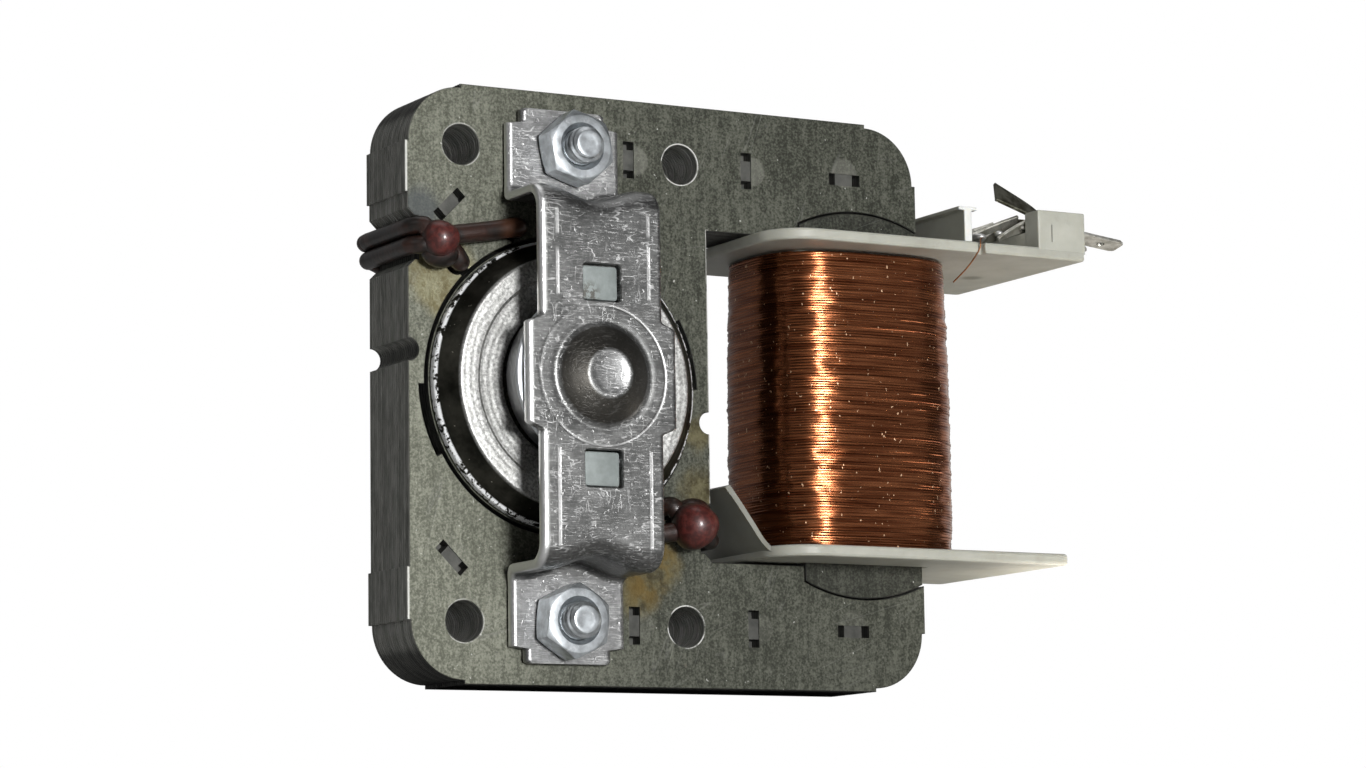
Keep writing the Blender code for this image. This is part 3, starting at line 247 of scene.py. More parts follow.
def smooth_path(points, count, closed=False):
    """Even samples of the Catmull-Rom curve through the points."""
    points = np.array(points, float)
    if closed:
        points = np.vstack([points[-1], points, points[:2]])
    else:
        points = np.vstack([2 * points[0] - points[1], points, 2 * points[-1] - points[-2]])
    place = np.linspace(0, len(points) - 3, count, endpoint=not closed)
    index = np.minimum(place.astype(int), len(points) - 4)
    t = (place - index)[:, None]
    a, b, c, d = (points[index + k] for k in range(4))
    bend, twist = 2 * a - 5 * b + 4 * c - d, 3 * b - a - 3 * c + d
    return 0.5 * (2 * b + (c - a) * t + bend * t ** 2 + twist * t ** 3)


def wobble(count, strength, seed):
    """Smooth closed noise: eight waves with random phase, falling off with their number."""
    random = np.random.default_rng(seed)
    turn = np.linspace(0, 2 * pi, count, endpoint=False)[:, None]
    waves = np.arange(1, 9)[None]
    return strength * np.sum(np.sin(turn * waves + random.uniform(0, 2 * pi, 8)) / waves, 1)


# Finishes

def operation(kind, swap=False):
    """A method of Value that adds a Math node of one kind; swap puts the other number first."""

    def method(self, *others):
        values = (*others, self) if swap else (self, *others)
        return self.nodes.node("ShaderNodeMath", dict(operation=kind), *values)

    return method


class Value:
    """The output of a node; arithmetic on it adds Math nodes."""

    def __init__(self, nodes, socket):
        self.nodes, self.socket = nodes, socket

    __add__ = __radd__ = operation("ADD")
    __mul__ = __rmul__ = operation("MULTIPLY")
    __sub__, __rsub__ = operation("SUBTRACT"), operation("SUBTRACT", swap=True)
    __truediv__, __rtruediv__ = operation("DIVIDE"), operation("DIVIDE", swap=True)
    __pow__, __rpow__ = operation("POWER"), operation("POWER", swap=True)
    __abs__ = operation("ABSOLUTE")
    least, most = operation("MINIMUM"), operation("MAXIMUM")
    sine, floor, fraction = operation("SINE"), operation("FLOOR"), operation("FRACT")

    def clipped(self):
        """Held between 0 and 1."""
        return self.most(0.0).least(1.0)

    def rise(self, low, high):
        """0 below low, 1 above high, smooth between; low above high turns it round."""
        return self.nodes.node("ShaderNodeMapRange", dict(interpolation_type="SMOOTHSTEP"),
                               self, low, high, 0.0, 1.0)


class Nodes:
    """The node tree of a material or a world."""

    def __init__(self, owner):
        owner.use_nodes = True
        self.owner, self.tree = owner, owner.node_tree

    def feed(self, socket, value):
        """Links a Value to a socket or sets the socket; a colour gets its alpha here."""
        if isinstance(value, Value):
            self.tree.links.new(value.socket, socket)
        else:
            socket.default_value = (*value, 1.0) if socket.type == "RGBA" else value

    def node(self, kind, settings, *values, out=0, at=None, **named):
        """Makes a node: its settings first, then its inputs in order, at numbers or by name."""
        made = self.tree.nodes.new(kind)
        for name, setting in settings.items():
            setattr(made, name, setting)
        for place, value in zip(at or range(len(values)), values):
            self.feed(made.inputs[place], value)
        for name, value in named.items():
            self.feed(made.inputs[name], value)
        return Value(self, made.outputs[out])


class Finish(Nodes):
    """One material, written as expressions on the place in millimetres."""

    def __init__(self, name):
        super().__init__(bpy.data.materials.new(name))
        where = self.node("ShaderNodeTexCoord", {}, out="Object")
        self.place = self.vector("SUBTRACT", self.vector("SCALE", where, Scale=1 / MM), (0.0, 0.0, AXIS))
        self.x, self.y, self.z = (self.node("ShaderNodeSeparateXYZ", {}, self.place, out=axis)
                                  for axis in "XYZ")
        self.radius = (self.x * self.x + self.z * self.z) ** 0.5

    def vector(self, kind, *values, **options):
        """A Vector Math node of one kind."""
        return self.node("ShaderNodeVectorMath", dict(operation=kind), *values, **options)

    def stretched(self, x, y, z):
        """The place with each direction multiplied."""
        return self.vector("MULTIPLY", self.place, (x, y, z))

    def noise(self, size, detail, rough, place=None, distortion=0.0, seed=0.0):
        """Noise from 0 to 1 whose features are about size millimetres."""
        return self.node("ShaderNodeTexNoise", dict(noise_dimensions="4D"), Vector=place or self.place,
                         W=seed, Scale=1.0 / size, Detail=detail, Roughness=rough, Distortion=distortion)

    def near(self, x, y, z, full, none):
        """1 within full millimetres of a point and 0 beyond none."""
        return self.vector("DISTANCE", self.place, (x, y, z), out="Value").rise(none, full)

    def marks(self, places):
        """Sum of round marks on the front sheet, each an x, a z and two radii."""
        return sum(self.near(x, -FRONT, z, full, none) for x, z, full, none in places)

    def scratches(self, size, seed, tilt, thin=0.012, stretch=14.0):
        """Thin broken lines: the narrow zero bands of a noise stretched one way."""
        about_y = dict(rotation_type="Y_AXIS")
        tilted = self.node("ShaderNodeVectorRotate", about_y, self.place, Angle=radians(tilt))
        drawn = self.vector("MULTIPLY", tilted, (1.0 / stretch, 1.0, 1.0))
        lines = abs(self.noise(size, 1.0, 0.4, drawn, 0.4, seed) - 0.5).rise(thin, 0.0)
        return lines * self.noise(size * 2.4, 2.0, 0.5, seed=seed + 7.3).rise(0.52, 0.62)

    def mix(self, factor, first, second):
        """Colour between two others by a factor."""
        return self.node("ShaderNodeMix", dict(data_type="RGBA"), factor, first, second, at=(0, 6, 7), out=2)

    def paint(self, factor, colour):
        """Lays a colour over the finish's present one, as much as the factor says."""
        self.colour = self.mix(factor, self.colour, colour)

    def done(self, roughness, metallic, bump, height, **constants):
        """Sets the surface; bump is a height whose 1 stands for height millimetres."""
        bent = self.node("ShaderNodeBump", {}, Strength=1.0, Distance=height * MM, Height=bump, out="Normal")
        ways = {"Base Color": self.colour, "Roughness": roughness, "Metallic": metallic, "Normal": bent}
        for name, value in {**ways, **constants}.items():
            self.feed(self.tree.nodes["Principled BSDF"].inputs[name], value)
        return self.owner


def lamination_steel(name, stained=False, light=1.0):
    """Cold-rolled electrical steel: mottled greenish grey faces with fine rolling lines, dark
    sheared edges, and on the frame the oil and heat stains round the shading coils. As painted
    light, the face is lighter towards the left and the bottom, and some sheared edges take a lighter
    copy. A light below 1 darkens the whole finish as painted shade."""
    f = Finish(name)
    face = abs(f.y).rise(FRONT - 0.06, FRONT - 0.01)
    cloud = f.noise(9.0, 4.0, 0.6)
    mottle = f.noise(0.8, 4.0, 0.7, seed=2.0)
    grain = f.noise(0.24, 2.0, 0.6, seed=4.0)
    rolled = f.noise(0.5, 3.0, 0.6, f.stretched(1.0, 1.0, 0.12), seed=5.0)
    shade = (cloud * 0.22 + mottle * 0.34 + rolled * 0.36 + grain * 0.68).rise(0.66, 0.98)
    f.colour = f.mix(shade, (0.022, 0.024, 0.016), (0.108, 0.112, 0.088))
    # Painted light: the face is painted lighter towards the left and the bottom.
    left = f.x.rise(14.0, -16.0)
    lower = f.z.rise(18.0, -14.0)
    f.paint(left * (0.62 + lower * 0.30), f.mix(shade, (0.086, 0.090, 0.066), (0.240, 0.245, 0.196)))
    f.paint(lower * 0.03, (0.20, 0.205, 0.17))
    # Painted shade: 1 - light darkens the whole finish; the coil's core takes 0.62.
    f.paint(1.0 - light, (0.0, 0.0, 0.0))
    speck = f.noise(0.55, 2.0, 0.5, seed=9.0).rise(0.70, 0.78)
    f.paint(speck * 0.7, (0.06, 0.06, 0.055))
    nick = f.noise(0.5, 1.0, 0.5, seed=11.0).rise(0.74, 0.80)
    f.paint(nick * 0.6, (0.62, 0.62, 0.58))
    lines = f.scratches(2.2, 3.0, 70.0).most(f.scratches(3.0, 6.0, 20.0))
    f.paint(lines * 0.10, (0.45, 0.45, 0.42))
    rough = 0.42 + mottle * 0.2 - lines * 0.15
    # Painted light: the frame's left side takes a lighter copy of the sheared colour.
    lit_edge_paint = f.x.rise(-16.5, -17.2)
    if stained:
        stain, lit_edge_paint = stain_frame(f, face, mottle, lit_edge_paint)
        rough = rough - stain * 0.12
    f.colour = f.mix(face, sheared_edge(f, lit_edge_paint), f.colour)
    return f.done(rough + (1.0 - face) * 0.08, 0.55, grain * 1.2 + mottle + rolled - lines * 0.3, 0.014)


def stain_frame(f, face, mottle, lit_edge_paint):
    """Paints the frame's oil, burns and blue tint, the marks of the stamped slits, and painted
    highlights along the rims of its holes, the window's left edge and the pads. Returns the oil and
    where the sheared edges get painted light."""
    edge = f.noise(2.6, 4.0, 0.62, seed=21.0)
    stain = (f.marks(OIL) * (0.35 + edge)).rise(0.28, 0.85) * face
    flakes = (edge * 0.5 + mottle * 0.5).rise(0.40, 0.60)
    pale = f.mix(flakes, (0.150, 0.120, 0.045), (0.270, 0.255, 0.150))
    deep = f.mix(flakes, (0.050, 0.036, 0.010), (0.150, 0.130, 0.060))
    f.paint(stain * 0.70, f.mix(f.x.rise(4.0, 8.0), pale, deep))
    burnt = f.marks(BURNS) * edge.rise(0.42, 0.58)
    f.paint(burnt.clipped() * 0.75 * face, (0.130, 0.078, 0.012))
    tint = f.near(-16.4, -FRONT, 17.6, 0.3, 3.6) * face
    f.paint((tint * 1.6).clipped() * 0.75, (0.055, 0.062, 0.066))
    for x, z, angle in INTERLOCKS:
        for side in (1, -1):
            beside, above = 0.75 * abs(sin(radians(angle))), 0.75 * (angle == 0)
            mark = f.near(x + beside, -FRONT, side * z + above, 1.45, 1.75)
            f.paint(mark * (0.28 if side > 0 and x > 0 else 0.10) * face, (0.26, 0.26, 0.225))
    # Painted highlight: a broken pale line along the window's left edge on the front face.
    wall = f.x.rise(17.80, 17.92) * f.x.rise(18.3, 18.2) * abs(f.z).rise(18.2, 18.0) * f.y.rise(-4.60, -4.70)
    f.paint(wall * edge.rise(0.40, 0.50) * 0.7, (0.62, 0.62, 0.58))
    over = abs(f.z) - HOLE_Z
    for x, strength in zip(HOLE_X, (0.35, 0.8)):
        beside = f.x - x
        reach = (beside * beside + over * over) ** 0.5
        # Painted light: the walls of the mounting holes take the lighter copy as well.
        lit_edge_paint = lit_edge_paint.most(reach.rise(2.6, 2.3))
        # Painted highlight: a broken pale ring round each mounting hole.
        rim = abs(reach - 2.24).rise(0.12, 0.04) * edge.rise(0.42, 0.56) * face
        f.paint(rim * strength, (0.75, 0.75, 0.72))
    # Painted highlight: pale front edges of the left pads.
    shine = abs(f.z).rise(19.3, 19.7) * f.x.rise(-17.65, -17.85) * f.y.rise(-4.55, -4.70)
    f.paint(shine * 0.75, (0.72, 0.72, 0.68))
    return stain, lit_edge_paint


def sheared_edge(f, lit_edge_paint):
    """Colour of the stack's cut sides: streaked sheets with a dark joint between them, and a
    lighter copy of the sheets painted in by the given mask as painted light.
    """
    count = (f.y + FRONT) / PITCH
    each = f.node("ShaderNodeTexWhiteNoise", dict(noise_dimensions="1D"), W=count.floor())
    joint = abs(count.fraction() - 0.5).rise(0.36, 0.48)
    along = f.noise(2.5, 3.0, 0.6, f.stretched(1.0, 4.0, 1.0), seed=31.0)
    bare = (each * 0.15 + along * 0.9).rise(0.25, 0.85)
    dark = f.mix(bare, (0.030, 0.031, 0.028), (0.110, 0.110, 0.100))
    sheared = f.mix(lit_edge_paint, dark, f.mix(bare, (0.140, 0.142, 0.128), (0.340, 0.340, 0.315)))
    return f.mix(joint * 0.85, sheared, (0.012, 0.012, 0.011))


def pressed_sheet():
    """Bright rolled sheet of the brackets: cloudy, crossed by scratches and press marks, with
    the tool's dashed lines along both arms and a faint circle round the dome that is painted
    brighter towards the right as a painted highlight. The feet and the dome's flat top are painted
    lighter as painted light, the dome's cone is painted dark as a painted reflection, and the
    left edges carry a painted highlight."""
    f = Finish("pressed_bright_sheet")
    cloud = f.noise(3.0, 5.0, 0.65)
    fine = f.noise(0.35, 3.0, 0.6, seed=3.0)
    lines = f.scratches(0.7, 1.0, 0.0, 0.03, 4.0).most(f.scratches(0.9, 5.0, 86.0, 0.02, 3.0) * 0.5)
    lines = lines.most(f.scratches(0.5, 23.0, 3.0, 0.035, 5.0))
    drawn_grain = f.noise(0.13, 3.0, 0.7, f.stretched(0.10, 1.0, 1.0), seed=27.0)
    lines = lines.most(drawn_grain.rise(0.56, 0.70) * 0.7)
    span = f.z.rise(8.0, 8.3) * f.z.rise(17.3, 17.0) + f.z.rise(-7.6, -7.9) * f.z.rise(-18.0, -17.7)
    dash = f.noise(2.2, 1.0, 0.5, f.stretched(0.2, 0.2, 1.0), seed=14.0).rise(0.32, 0.44)
    drawn = abs(abs(f.x - 0.1) - 5.35).rise(0.30, 0.10) * span * dash * 0.7
    outside = abs(f.y).rise(FACE - 0.4, FACE - 0.2)
    # The faint circle is a real pressed line; its brightening towards the right is a painted highlight.
    broken = (f.noise(3.0, 1.0, 0.5, seed=17.0) + f.x * 0.03).rise(0.40, 0.62)
    marks = drawn.most(abs(f.radius - FAINT_RING).rise(0.16, 0.06) * broken * outside * 0.8)
    pits = f.noise(0.45, 1.0, 0.5, seed=19.0).rise(0.66, 0.72)
    shade = (cloud * 0.40 + fine * 0.25 + drawn_grain * 0.45).rise(0.36, 0.76)
    f.colour = f.mix(shade, (0.108, 0.109, 0.107), (0.262, 0.263, 0.259))
    # Painted light: the feet beyond the riser and the dome's flat top are a lighter copy of the sheet.
    bright = abs(f.z).rise(19.6, 21.0).most(f.radius.rise(2.5, 2.2))
    f.paint(bright, f.mix(shade, (0.19, 0.191, 0.191), (0.42, 0.422, 0.422)))
    f.paint((lines * 0.5).most(marks * 0.9), (0.74, 0.74, 0.735))
    f.paint(pits * 0.20, (0.85, 0.85, 0.85))
    # Painted reflection: the dome's sloped cone is painted near black for the dark room it reflects.
    cone = f.radius.rise(5.35, 4.9) * f.radius.rise(2.45, 2.8) * abs(f.y).rise(FACE + 0.05, FACE + 0.3)
    f.paint(cone * 0.88, (0.050, 0.046, 0.039))
    # Painted highlight: the brackets' left edges are painted white.
    rim = f.x.rise(-6.25, -6.75) * abs(f.z).rise(6.0, 6.6) + f.x.rise(-7.9, -8.35)
    f.paint(rim.clipped() * 0.8, (0.92, 0.92, 0.92))
    rough = 0.28 + cloud * 0.2 + lines * 0.12 + cone * 0.05
    return f.done(rough, 0.95, fine * 0.8 + cloud * 1.5 - lines - marks * 2.0 - pits * 1.5, 0.012)


def zinc():
    """Zinc plating of screws and nuts: bluish grey, slightly cloudy, with rubbed specks."""
    f = Finish("zinc_nut")
    cloud = f.noise(1.2, 4.0, 0.6)
    fine = f.noise(0.25, 2.0, 0.5, seed=3.0)
    worn = f.noise(0.6, 2.0, 0.5, seed=6.0).rise(0.62, 0.70)
    f.colour = f.mix(cloud.rise(0.3, 0.7), (0.396, 0.420, 0.438), (0.66, 0.70, 0.73))
    f.paint(worn * 0.5, (0.78, 0.79, 0.8))
    return f.done(0.26 + cloud * 0.15, 0.9, cloud + fine * 0.4, 0.008)


def dull_zinc():
    """The retainers: matt bluish tabs with a brown smear; the rolled rim is painted pale as a
    painted highlight and the cup's wall near black as painted shade.
    """
    f = Finish("dull_zinc")
    cloud = f.noise(1.2, 4.0, 0.6)
    deep = abs(f.y)
    tab = abs(f.x).rise(2.3, 2.1) * abs(abs(f.z) - EYE_Z).rise(2.1, 2.0) * deep.rise(13.0, 13.2)
    # Painted shade and highlight: the cup's wall is painted near black and its rolled rim pale.
    cup = f.mix(deep.rise(12.55, 12.75), (0.020, 0.021, 0.023), (0.55, 0.57, 0.59))
    f.colour = f.mix(cloud.rise(0.3, 0.7), (0.195, 0.218, 0.212), (0.255, 0.285, 0.278))
    smear = f.near(-1.3, -13.75, 8.5, 0.5, 1.7) * f.noise(0.5, 3.0, 0.6, seed=4.0).rise(0.42, 0.55)
    f.paint(smear * 0.8, (0.045, 0.035, 0.022))
    f.colour = f.mix(tab, cup, f.colour)
    return f.done(0.38 + tab * 0.25, 0.85 - tab * 0.7, cloud, 0.006)


def cast_aluminium():
    """Die-cast cage: grainy flat face with turning marks; the smooth cone is painted near black as a
    painted reflection, and the outer rim white as a painted highlight.
    """
    f = Finish("cast_aluminium")
    crystals = f.noise(0.32, 4.0, 0.75)
    cloud = f.noise(2.5, 4.0, 0.6, seed=2.0)
    turning = (f.radius * 9.0 + cloud * 5.0).sine()
    flat = f.radius.rise(13.65, 13.4)
    # Painted highlight: a broken white line round the ring's outer edge, also made less metallic.
    rim = f.radius.rise(15.02, 15.16) * f.noise(0.7, 3.0, 0.65, seed=8.0).rise(0.42, 0.50)
    f.colour = f.mix(crystals.rise(0.35, 0.65), (0.30, 0.30, 0.29), (0.74, 0.74, 0.72))
    f.paint(cloud.rise(0.45, 0.65) * 0.4, (0.32, 0.32, 0.30))
    # Painted reflection: the cone is a near-black copy of the aluminium.
    cone = f.mix(cloud.rise(0.3, 0.7), (0.012, 0.012, 0.009), (0.055, 0.053, 0.043))
    cone = f.mix(f.noise(0.4, 1.0, 0.5, seed=12.0).rise(0.72, 0.78), cone, (0.45, 0.43, 0.36))
    f.colour = f.mix(flat, cone, f.colour)
    f.paint(rim, (0.90, 0.91, 0.92))
    bump = crystals * flat + turning * 0.25 * flat + cloud * 0.3
    return f.done(0.36 + crystals * 0.2 * flat, 0.9 - rim * 0.75, bump, 0.02)


def shading_enamel():
    """Thick copper loops, dark red-brown under a glossy varnish, blackened in places."""
    f = Finish("dark_red_enamel")
    cloud = f.noise(2.2, 4.0, 0.6)
    fine = f.noise(0.5, 3.0, 0.6, seed=3.0)
    bead = f.near(-15.3, -9.0, 14.3, 1.6, 2.6) + f.near(14.4, -9.0, -14.5, 2.0, 3.1)
    f.colour = f.mix(cloud.rise(0.40, 0.62), (0.005, 0.003, 0.002), (0.028, 0.010, 0.006))
    f.paint(bead.clipped() * 0.8, f.mix(fine.rise(0.4, 0.6), (0.050, 0.007, 0.006), (0.110, 0.018, 0.014)))
    f.paint(f.near(-6.5, -6.2, 16.2, 0.5, 3.0) * 0.6, (0.090, 0.032, 0.012))
    varnish = {"Coat Weight": 0.35, "Coat Roughness": 0.18}
    return f.done(0.40 + fine * 0.15, 0.1, cloud + fine * 0.5, 0.06, **varnish)


def copper():
    """Enamelled winding wire: each turn a slightly different brown, glossy, with dust specks,
    and painted lighter round the right corner as a painted reflection."""
    f = Finish("copper_wire")
    bands = f.noise(0.30, 2.0, 0.6, f.stretched(0.03, 0.03, 1.0))
    broad = f.noise(4.0, 3.0, 0.55, f.stretched(0.5, 0.5, 1.0), seed=3.0)
    speck = f.noise(0.35, 1.0, 0.5, f.stretched(1.0, 1.0, 0.6), seed=6.0).rise(0.70, 0.74)
    f.colour = f.mix(bands.rise(0.3, 0.7), (0.120, 0.029, 0.008), (0.360, 0.128, 0.052))
    f.paint(broad.rise(0.4, 0.7) * 0.4, (0.095, 0.024, 0.007))
    f.paint(speck * 0.8, (0.80, 0.55, 0.36))
    # Painted reflection: the right corner of the winding is painted lighter.
    f.paint(f.x.rise(CORE_X + 9.2, CORE_X + 11.2) * 0.75, (0.62, 0.30, 0.15))
    varnish = {"Coat Weight": 0.14, "Coat Roughness": 0.14}
    return f.done(0.19 + bands * 0.06 + speck * 0.3, 0.97, bands, 0.006, **varnish)


def nylon(name, light, front=1.0):
    """Moulded off-white plastic: faint clouds, smudges, a small moulding mark, and a dark line
    painted as the shade in a slit. Light scales its grey, giving lit and shaded copies of one plastic
    as painted light and shade, and front above 1 brightens the faces at the very front as a
    painted highlight."""
    f = Finish(name)
    cloud = f.noise(6.0, 4.0, 0.6)
    smudge = f.noise(2.2, 4.0, 0.65, seed=3.0).rise(0.56, 0.72)
    fine = f.noise(0.25, 2.0, 0.5, seed=6.0)
    tones = ((0.345, 0.345, 0.295), (0.445, 0.445, 0.390))
    dark, pale = (tuple(light * part for part in tone) for tone in tones)
    f.colour = f.mix(cloud.rise(0.3, 0.7), dark, pale)
    f.paint(smudge * 0.35, (0.26, 0.25, 0.20))
    # Painted highlight: front above 1 paints the faces at the very front whiter.
    if front > 1.0:
        f.paint(f.y.rise(-10.5, -10.7) * (1.0 - 1.0 / front), (0.95, 0.95, 0.92))
    mark = f.near(56.6, 1.7, FLANGE_LOW, 0.6, 1.7) * f.z.rise(16.7, 16.5)
    f.paint(mark * 0.7, (0.12, 0.12, 0.08))
    # Painted shade: a dark line stands for the shade inside a slit on the terminal block's front.
    level = f.z.rise(18.3, 18.5) * f.z.rise(20.4, 20.2)
    slit = abs(f.x - 57.7).rise(0.12, 0.05) * level * f.y.rise(-12.7, -12.8)
    f.paint(slit * 0.7, (0.15, 0.15, 0.13))
    milky = {"Subsurface Weight": 0.25, "Subsurface Scale": 1.2 * MM, "Subsurface Radius": (1.0, 0.8, 0.55)}
    return f.done(0.42 + cloud * 0.12, 0.0, cloud * 2.0 + fine * 0.3 - slit * 4.0, 0.02, **milky)


def tinned(name, dark, pale):
    """Tarnished tin over brass: grey with olive spots and bright worn places."""
    f = Finish(name)
    cloud = f.noise(1.4, 4.0, 0.65)
    spot = f.noise(0.7, 3.0, 0.6, seed=4.0).rise(0.58, 0.68)
    f.colour = f.mix(cloud.rise(0.35, 0.65), dark, pale)
    f.paint(spot * 0.6, (0.14, 0.12, 0.07))
    return f.done(0.30 + cloud * 0.25, 0.9, cloud + spot, 0.02)


def plain(name, dark, light, rough, metallic, size=0.5, height=0.02):
    """Two tones of one colour and a fine grain."""
    f = Finish(name)
    grain = f.noise(size, 4.0, 0.65)
    f.colour = f.mix(grain.rise(0.3, 0.7), dark, light)
    return f.done(rough + grain * 0.12, metallic, grain, height)


# Making pieces

def make_object(name, shell):
    """The shell as an object in metres, doubled points merged and faces turned outwards."""
    points, faces = shell
    mesh = bpy.data.meshes.new(name)
    world = points * MM + (0, 0, AXIS * MM)
    mesh.from_pydata(world.tolist(), [], [face for part in faces for face in part.tolist()])
    bm = bmesh.new()
    bm.from_mesh(mesh)
    bmesh.ops.remove_doubles(bm, verts=bm.verts, dist=2e-7)
    bmesh.ops.dissolve_degenerate(bm, edges=bm.edges, dist=1e-8)
    bmesh.ops.recalc_face_normals(bm, faces=bm.faces)
    bm.to_mesh(mesh)
    bm.free()
    made = bpy.data.objects.new(name, mesh)
    bpy.context.scene.collection.objects.link(made)
    return made


def cut(piece, tool):
    """Cuts a shell out of a piece."""
    cutter = make_object(piece.name + "_cutter", tool)
    step = piece.modifiers.new("cut", "BOOLEAN")
    step.object, step.operation, step.solver = cutter, "DIFFERENCE", "EXACT"
    depsgraph = bpy.context.evaluated_depsgraph_get()
    done = bpy.data.meshes.new_from_object(piece.evaluated_get(depsgraph))
    piece.modifiers.clear()
    piece.data = done
    bpy.data.objects.remove(cutter, do_unlink=True)


def add_piece(name, shell, finish, node, sharp, body="stator", carve=()):
    """Turns a shell into a piece that stands for a CAD node, with seams by angle."""
    piece = make_object(name, shell)
    for tool in carve:
        cut(piece, tool)
    piece.data.materials.clear()
    piece.data.materials.append(finish)
    piece.data.shade_smooth()
    piece.data.set_sharp_from_angle(angle=radians(sharp))
    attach(piece, body)
    if node:
        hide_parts(node)


# The laminated frame

def lamination_layers(seed, groove=0.08, play=0.010):
    """Layers of a stack's rim: each sheet a flat band, moved a little in or out by chance,
    with a groove on both sides of it."""
    random = np.random.default_rng(seed)
    layers = []
    for index in range(SHEETS):
        low = -FRONT + PITCH * index
        shift = abs(random.normal(0, play))
        layers += [(low + 0.02 * (index > 0), groove), (low + 0.07, shift), (low + PITCH - 0.07, shift),
                   (low + PITCH - 0.02 * (index < SHEETS - 1), groove)]
    return layers


def bore_outline():
    """The bore: two widened pole edges and four keyhole pockets, repeated after half a turn."""
    half = [arc((0, 0), BORE + 0.65, 2.0, 29.0, 12)]
    start, lean = 29.0, degrees(asin(NECK / 2 / BORE))
    opening = degrees(asin(NECK / 2 / POCKET))
    for angle in POCKETS:
        half.append(arc((0, 0), BORE, start, angle - lean, int(angle - start) // 2 + 2))
        middle = (POCKET_REACH * cos(radians(angle)), POCKET_REACH * sin(radians(angle)))
        half.append(arc(middle, POCKET, angle + 180 + opening, angle + 540 - opening, 22))
        start = angle + lean
    half = np.concatenate(half + [arc((0, 0), BORE, start, 182.0, 24)])
    return np.concatenate([half, -half])


def crown(clearance):
    """Curved end of the coil's bar, from its right corner to its left one."""
    top, radius, half = 21.3, 17.4, 7.5
    spread = degrees(asin((half + clearance) / (radius + clearance)))
    return arc((CORE_X, top - radius), radius + clearance, 90 - spread, 90 + spread, 24)


def side_slot(wall):
    """A side's round notch and shading slot from bottom to top, cut to the wall's right."""
    slot = [(0, 11.65), (0.8, 12.45), (1.25, 12.45), (1.25, 17.05), (0.8, 17.05), (0, 17.85)]
    return np.concatenate([arc((wall, 3.0), 1.2, -90, 90, 12), np.add(slot, (wall, 0))])


def frame_outline():
    """Outer edge of the C-shaped sheet: left side, top, right arm, window, and back below. The
    sides and the top stand out as flat pads between the set-back corners and slots."""
    inner, pad_end, corner = LEFT + 0.3, 19.5, 6.1
    right_x = RIGHT + LEFT - HOLE_X[0]
    left = np.concatenate([[(LEFT, -HOLE_Z), (LEFT, -pad_end), (inner, -pad_end)], side_slot(inner),
                           [(inner, pad_end), (LEFT, pad_end), (LEFT, HOLE_Z)]])
    seat = crown(0.2)
    upper = np.concatenate([arc((HOLE_X[0], HOLE_Z), corner, 180, 90, 20),
                            [(HOLE_X[0], HALF), (right_x, HALF)],
                            arc((right_x, HOLE_Z), corner, 90, 0, 20),
                            [(RIGHT, HOLE_Z), (RIGHT, seat[0][1])], seat[1:], [(29.6, WINDOW)]])
    window = np.concatenate([[(WINDOW, WINDOW)], -side_slot(-WINDOW), [(WINDOW, -WINDOW)]])
    return np.concatenate([left, upper, window, upper[::-1] * (1, -1)])


def slit(x, z, angle):
    """Stamped slit, 4 by 1.3 mm: deep at both ends and almost level in its middle."""
    along = np.array((cos(radians(angle)), sin(radians(angle))))
    across = np.array((-along[1], along[0]))
    stops = np.array([-2.0, -1.2, -1.1, -0.5, 0.5, 1.1, 1.2, 2.0])
    lower = np.stack([stops, 0 * stops - 0.66], 1)
    flat = np.concatenate([lower, lower[::-1] * (1, -1)])
    outline = (x, z) + flat[:, :1] * along + flat[:, 1:] * across

    def depth(loop):
        return np.where(abs((loop - (x, z)) @ along) > 1.15, 1.6, 0.16)

    return outline, depth


def make_frame():
    """The C-shaped stack with its bore, holes and slits, and the bar through the coil."""
    holes = [circle((x, side * HOLE_Z), 2.15) for x in HOLE_X for side in (1, -1)]
    holes += [circle((side * SCREW_X, side * HOLE_Z), 2.3) for side in (1, -1)]
    sinks = [slit(x, side * z, side * angle) for x, z, angle in INTERLOCKS for side in (1, -1)]
    stack = plate(frame_outline(), lamination_layers(1), [bore_outline(), *holes], sinks=sinks)
    add_piece("frame_laminations", stack, frame_steel, "stator_stack", 20)
    end = crown(0.0)
    core = plate(np.concatenate([end, end[::-1] * (1, -1)]), lamination_layers(2))
    add_piece("coil_core_laminations", core, core_steel_painted_shade, "coil_core", 20)


# Shading coils

def shading_path(side, angle, offset):
    """Closed path of one loop: bulging out of the side slot, up to the weld, into its pocket
    of the bore, through the stack and back behind."""
    x, z = POCKET_REACH * cos(radians(angle)), POCKET_REACH * sin(radians(angle))
    slot_x, slot_z = LEFT + 0.38, SLOT_Z + offset
    run, weld, mouth = 6.15, 6.85, FRONT - 0.8
    up_to_weld = [(slot_x, 0.6 - FRONT, slot_z), (slot_x + 0.15, -5.4, slot_z),
                  (slot_x + 0.9, -run - 0.35, slot_z - 0.05), (-15.3, -weld, 14.3 + 0.45 * offset),
                  (x * 0.55 - 15.3 * 0.45, -run - 0.35, z * 0.5 + 7.25 + 0.1 * offset)]
    through_pocket = [(x - 0.4, -run, z - 0.05), (x + 0.05, -5.3, z), (x, -mouth, z), (x, 0, z),
                      (x, mouth, z), (x + 0.05, 5.3, z)]
    behind = [(x - 0.9, run, z - 0.1), (slot_x + 1.2, run, slot_z), (slot_x + 0.1, 5.4, slot_z),
              (slot_x, mouth, slot_z), (slot_x, 0, slot_z)]
    return smooth_path(up_to_weld + through_pocket + behind, 150, closed=True) * (side, 1, side)


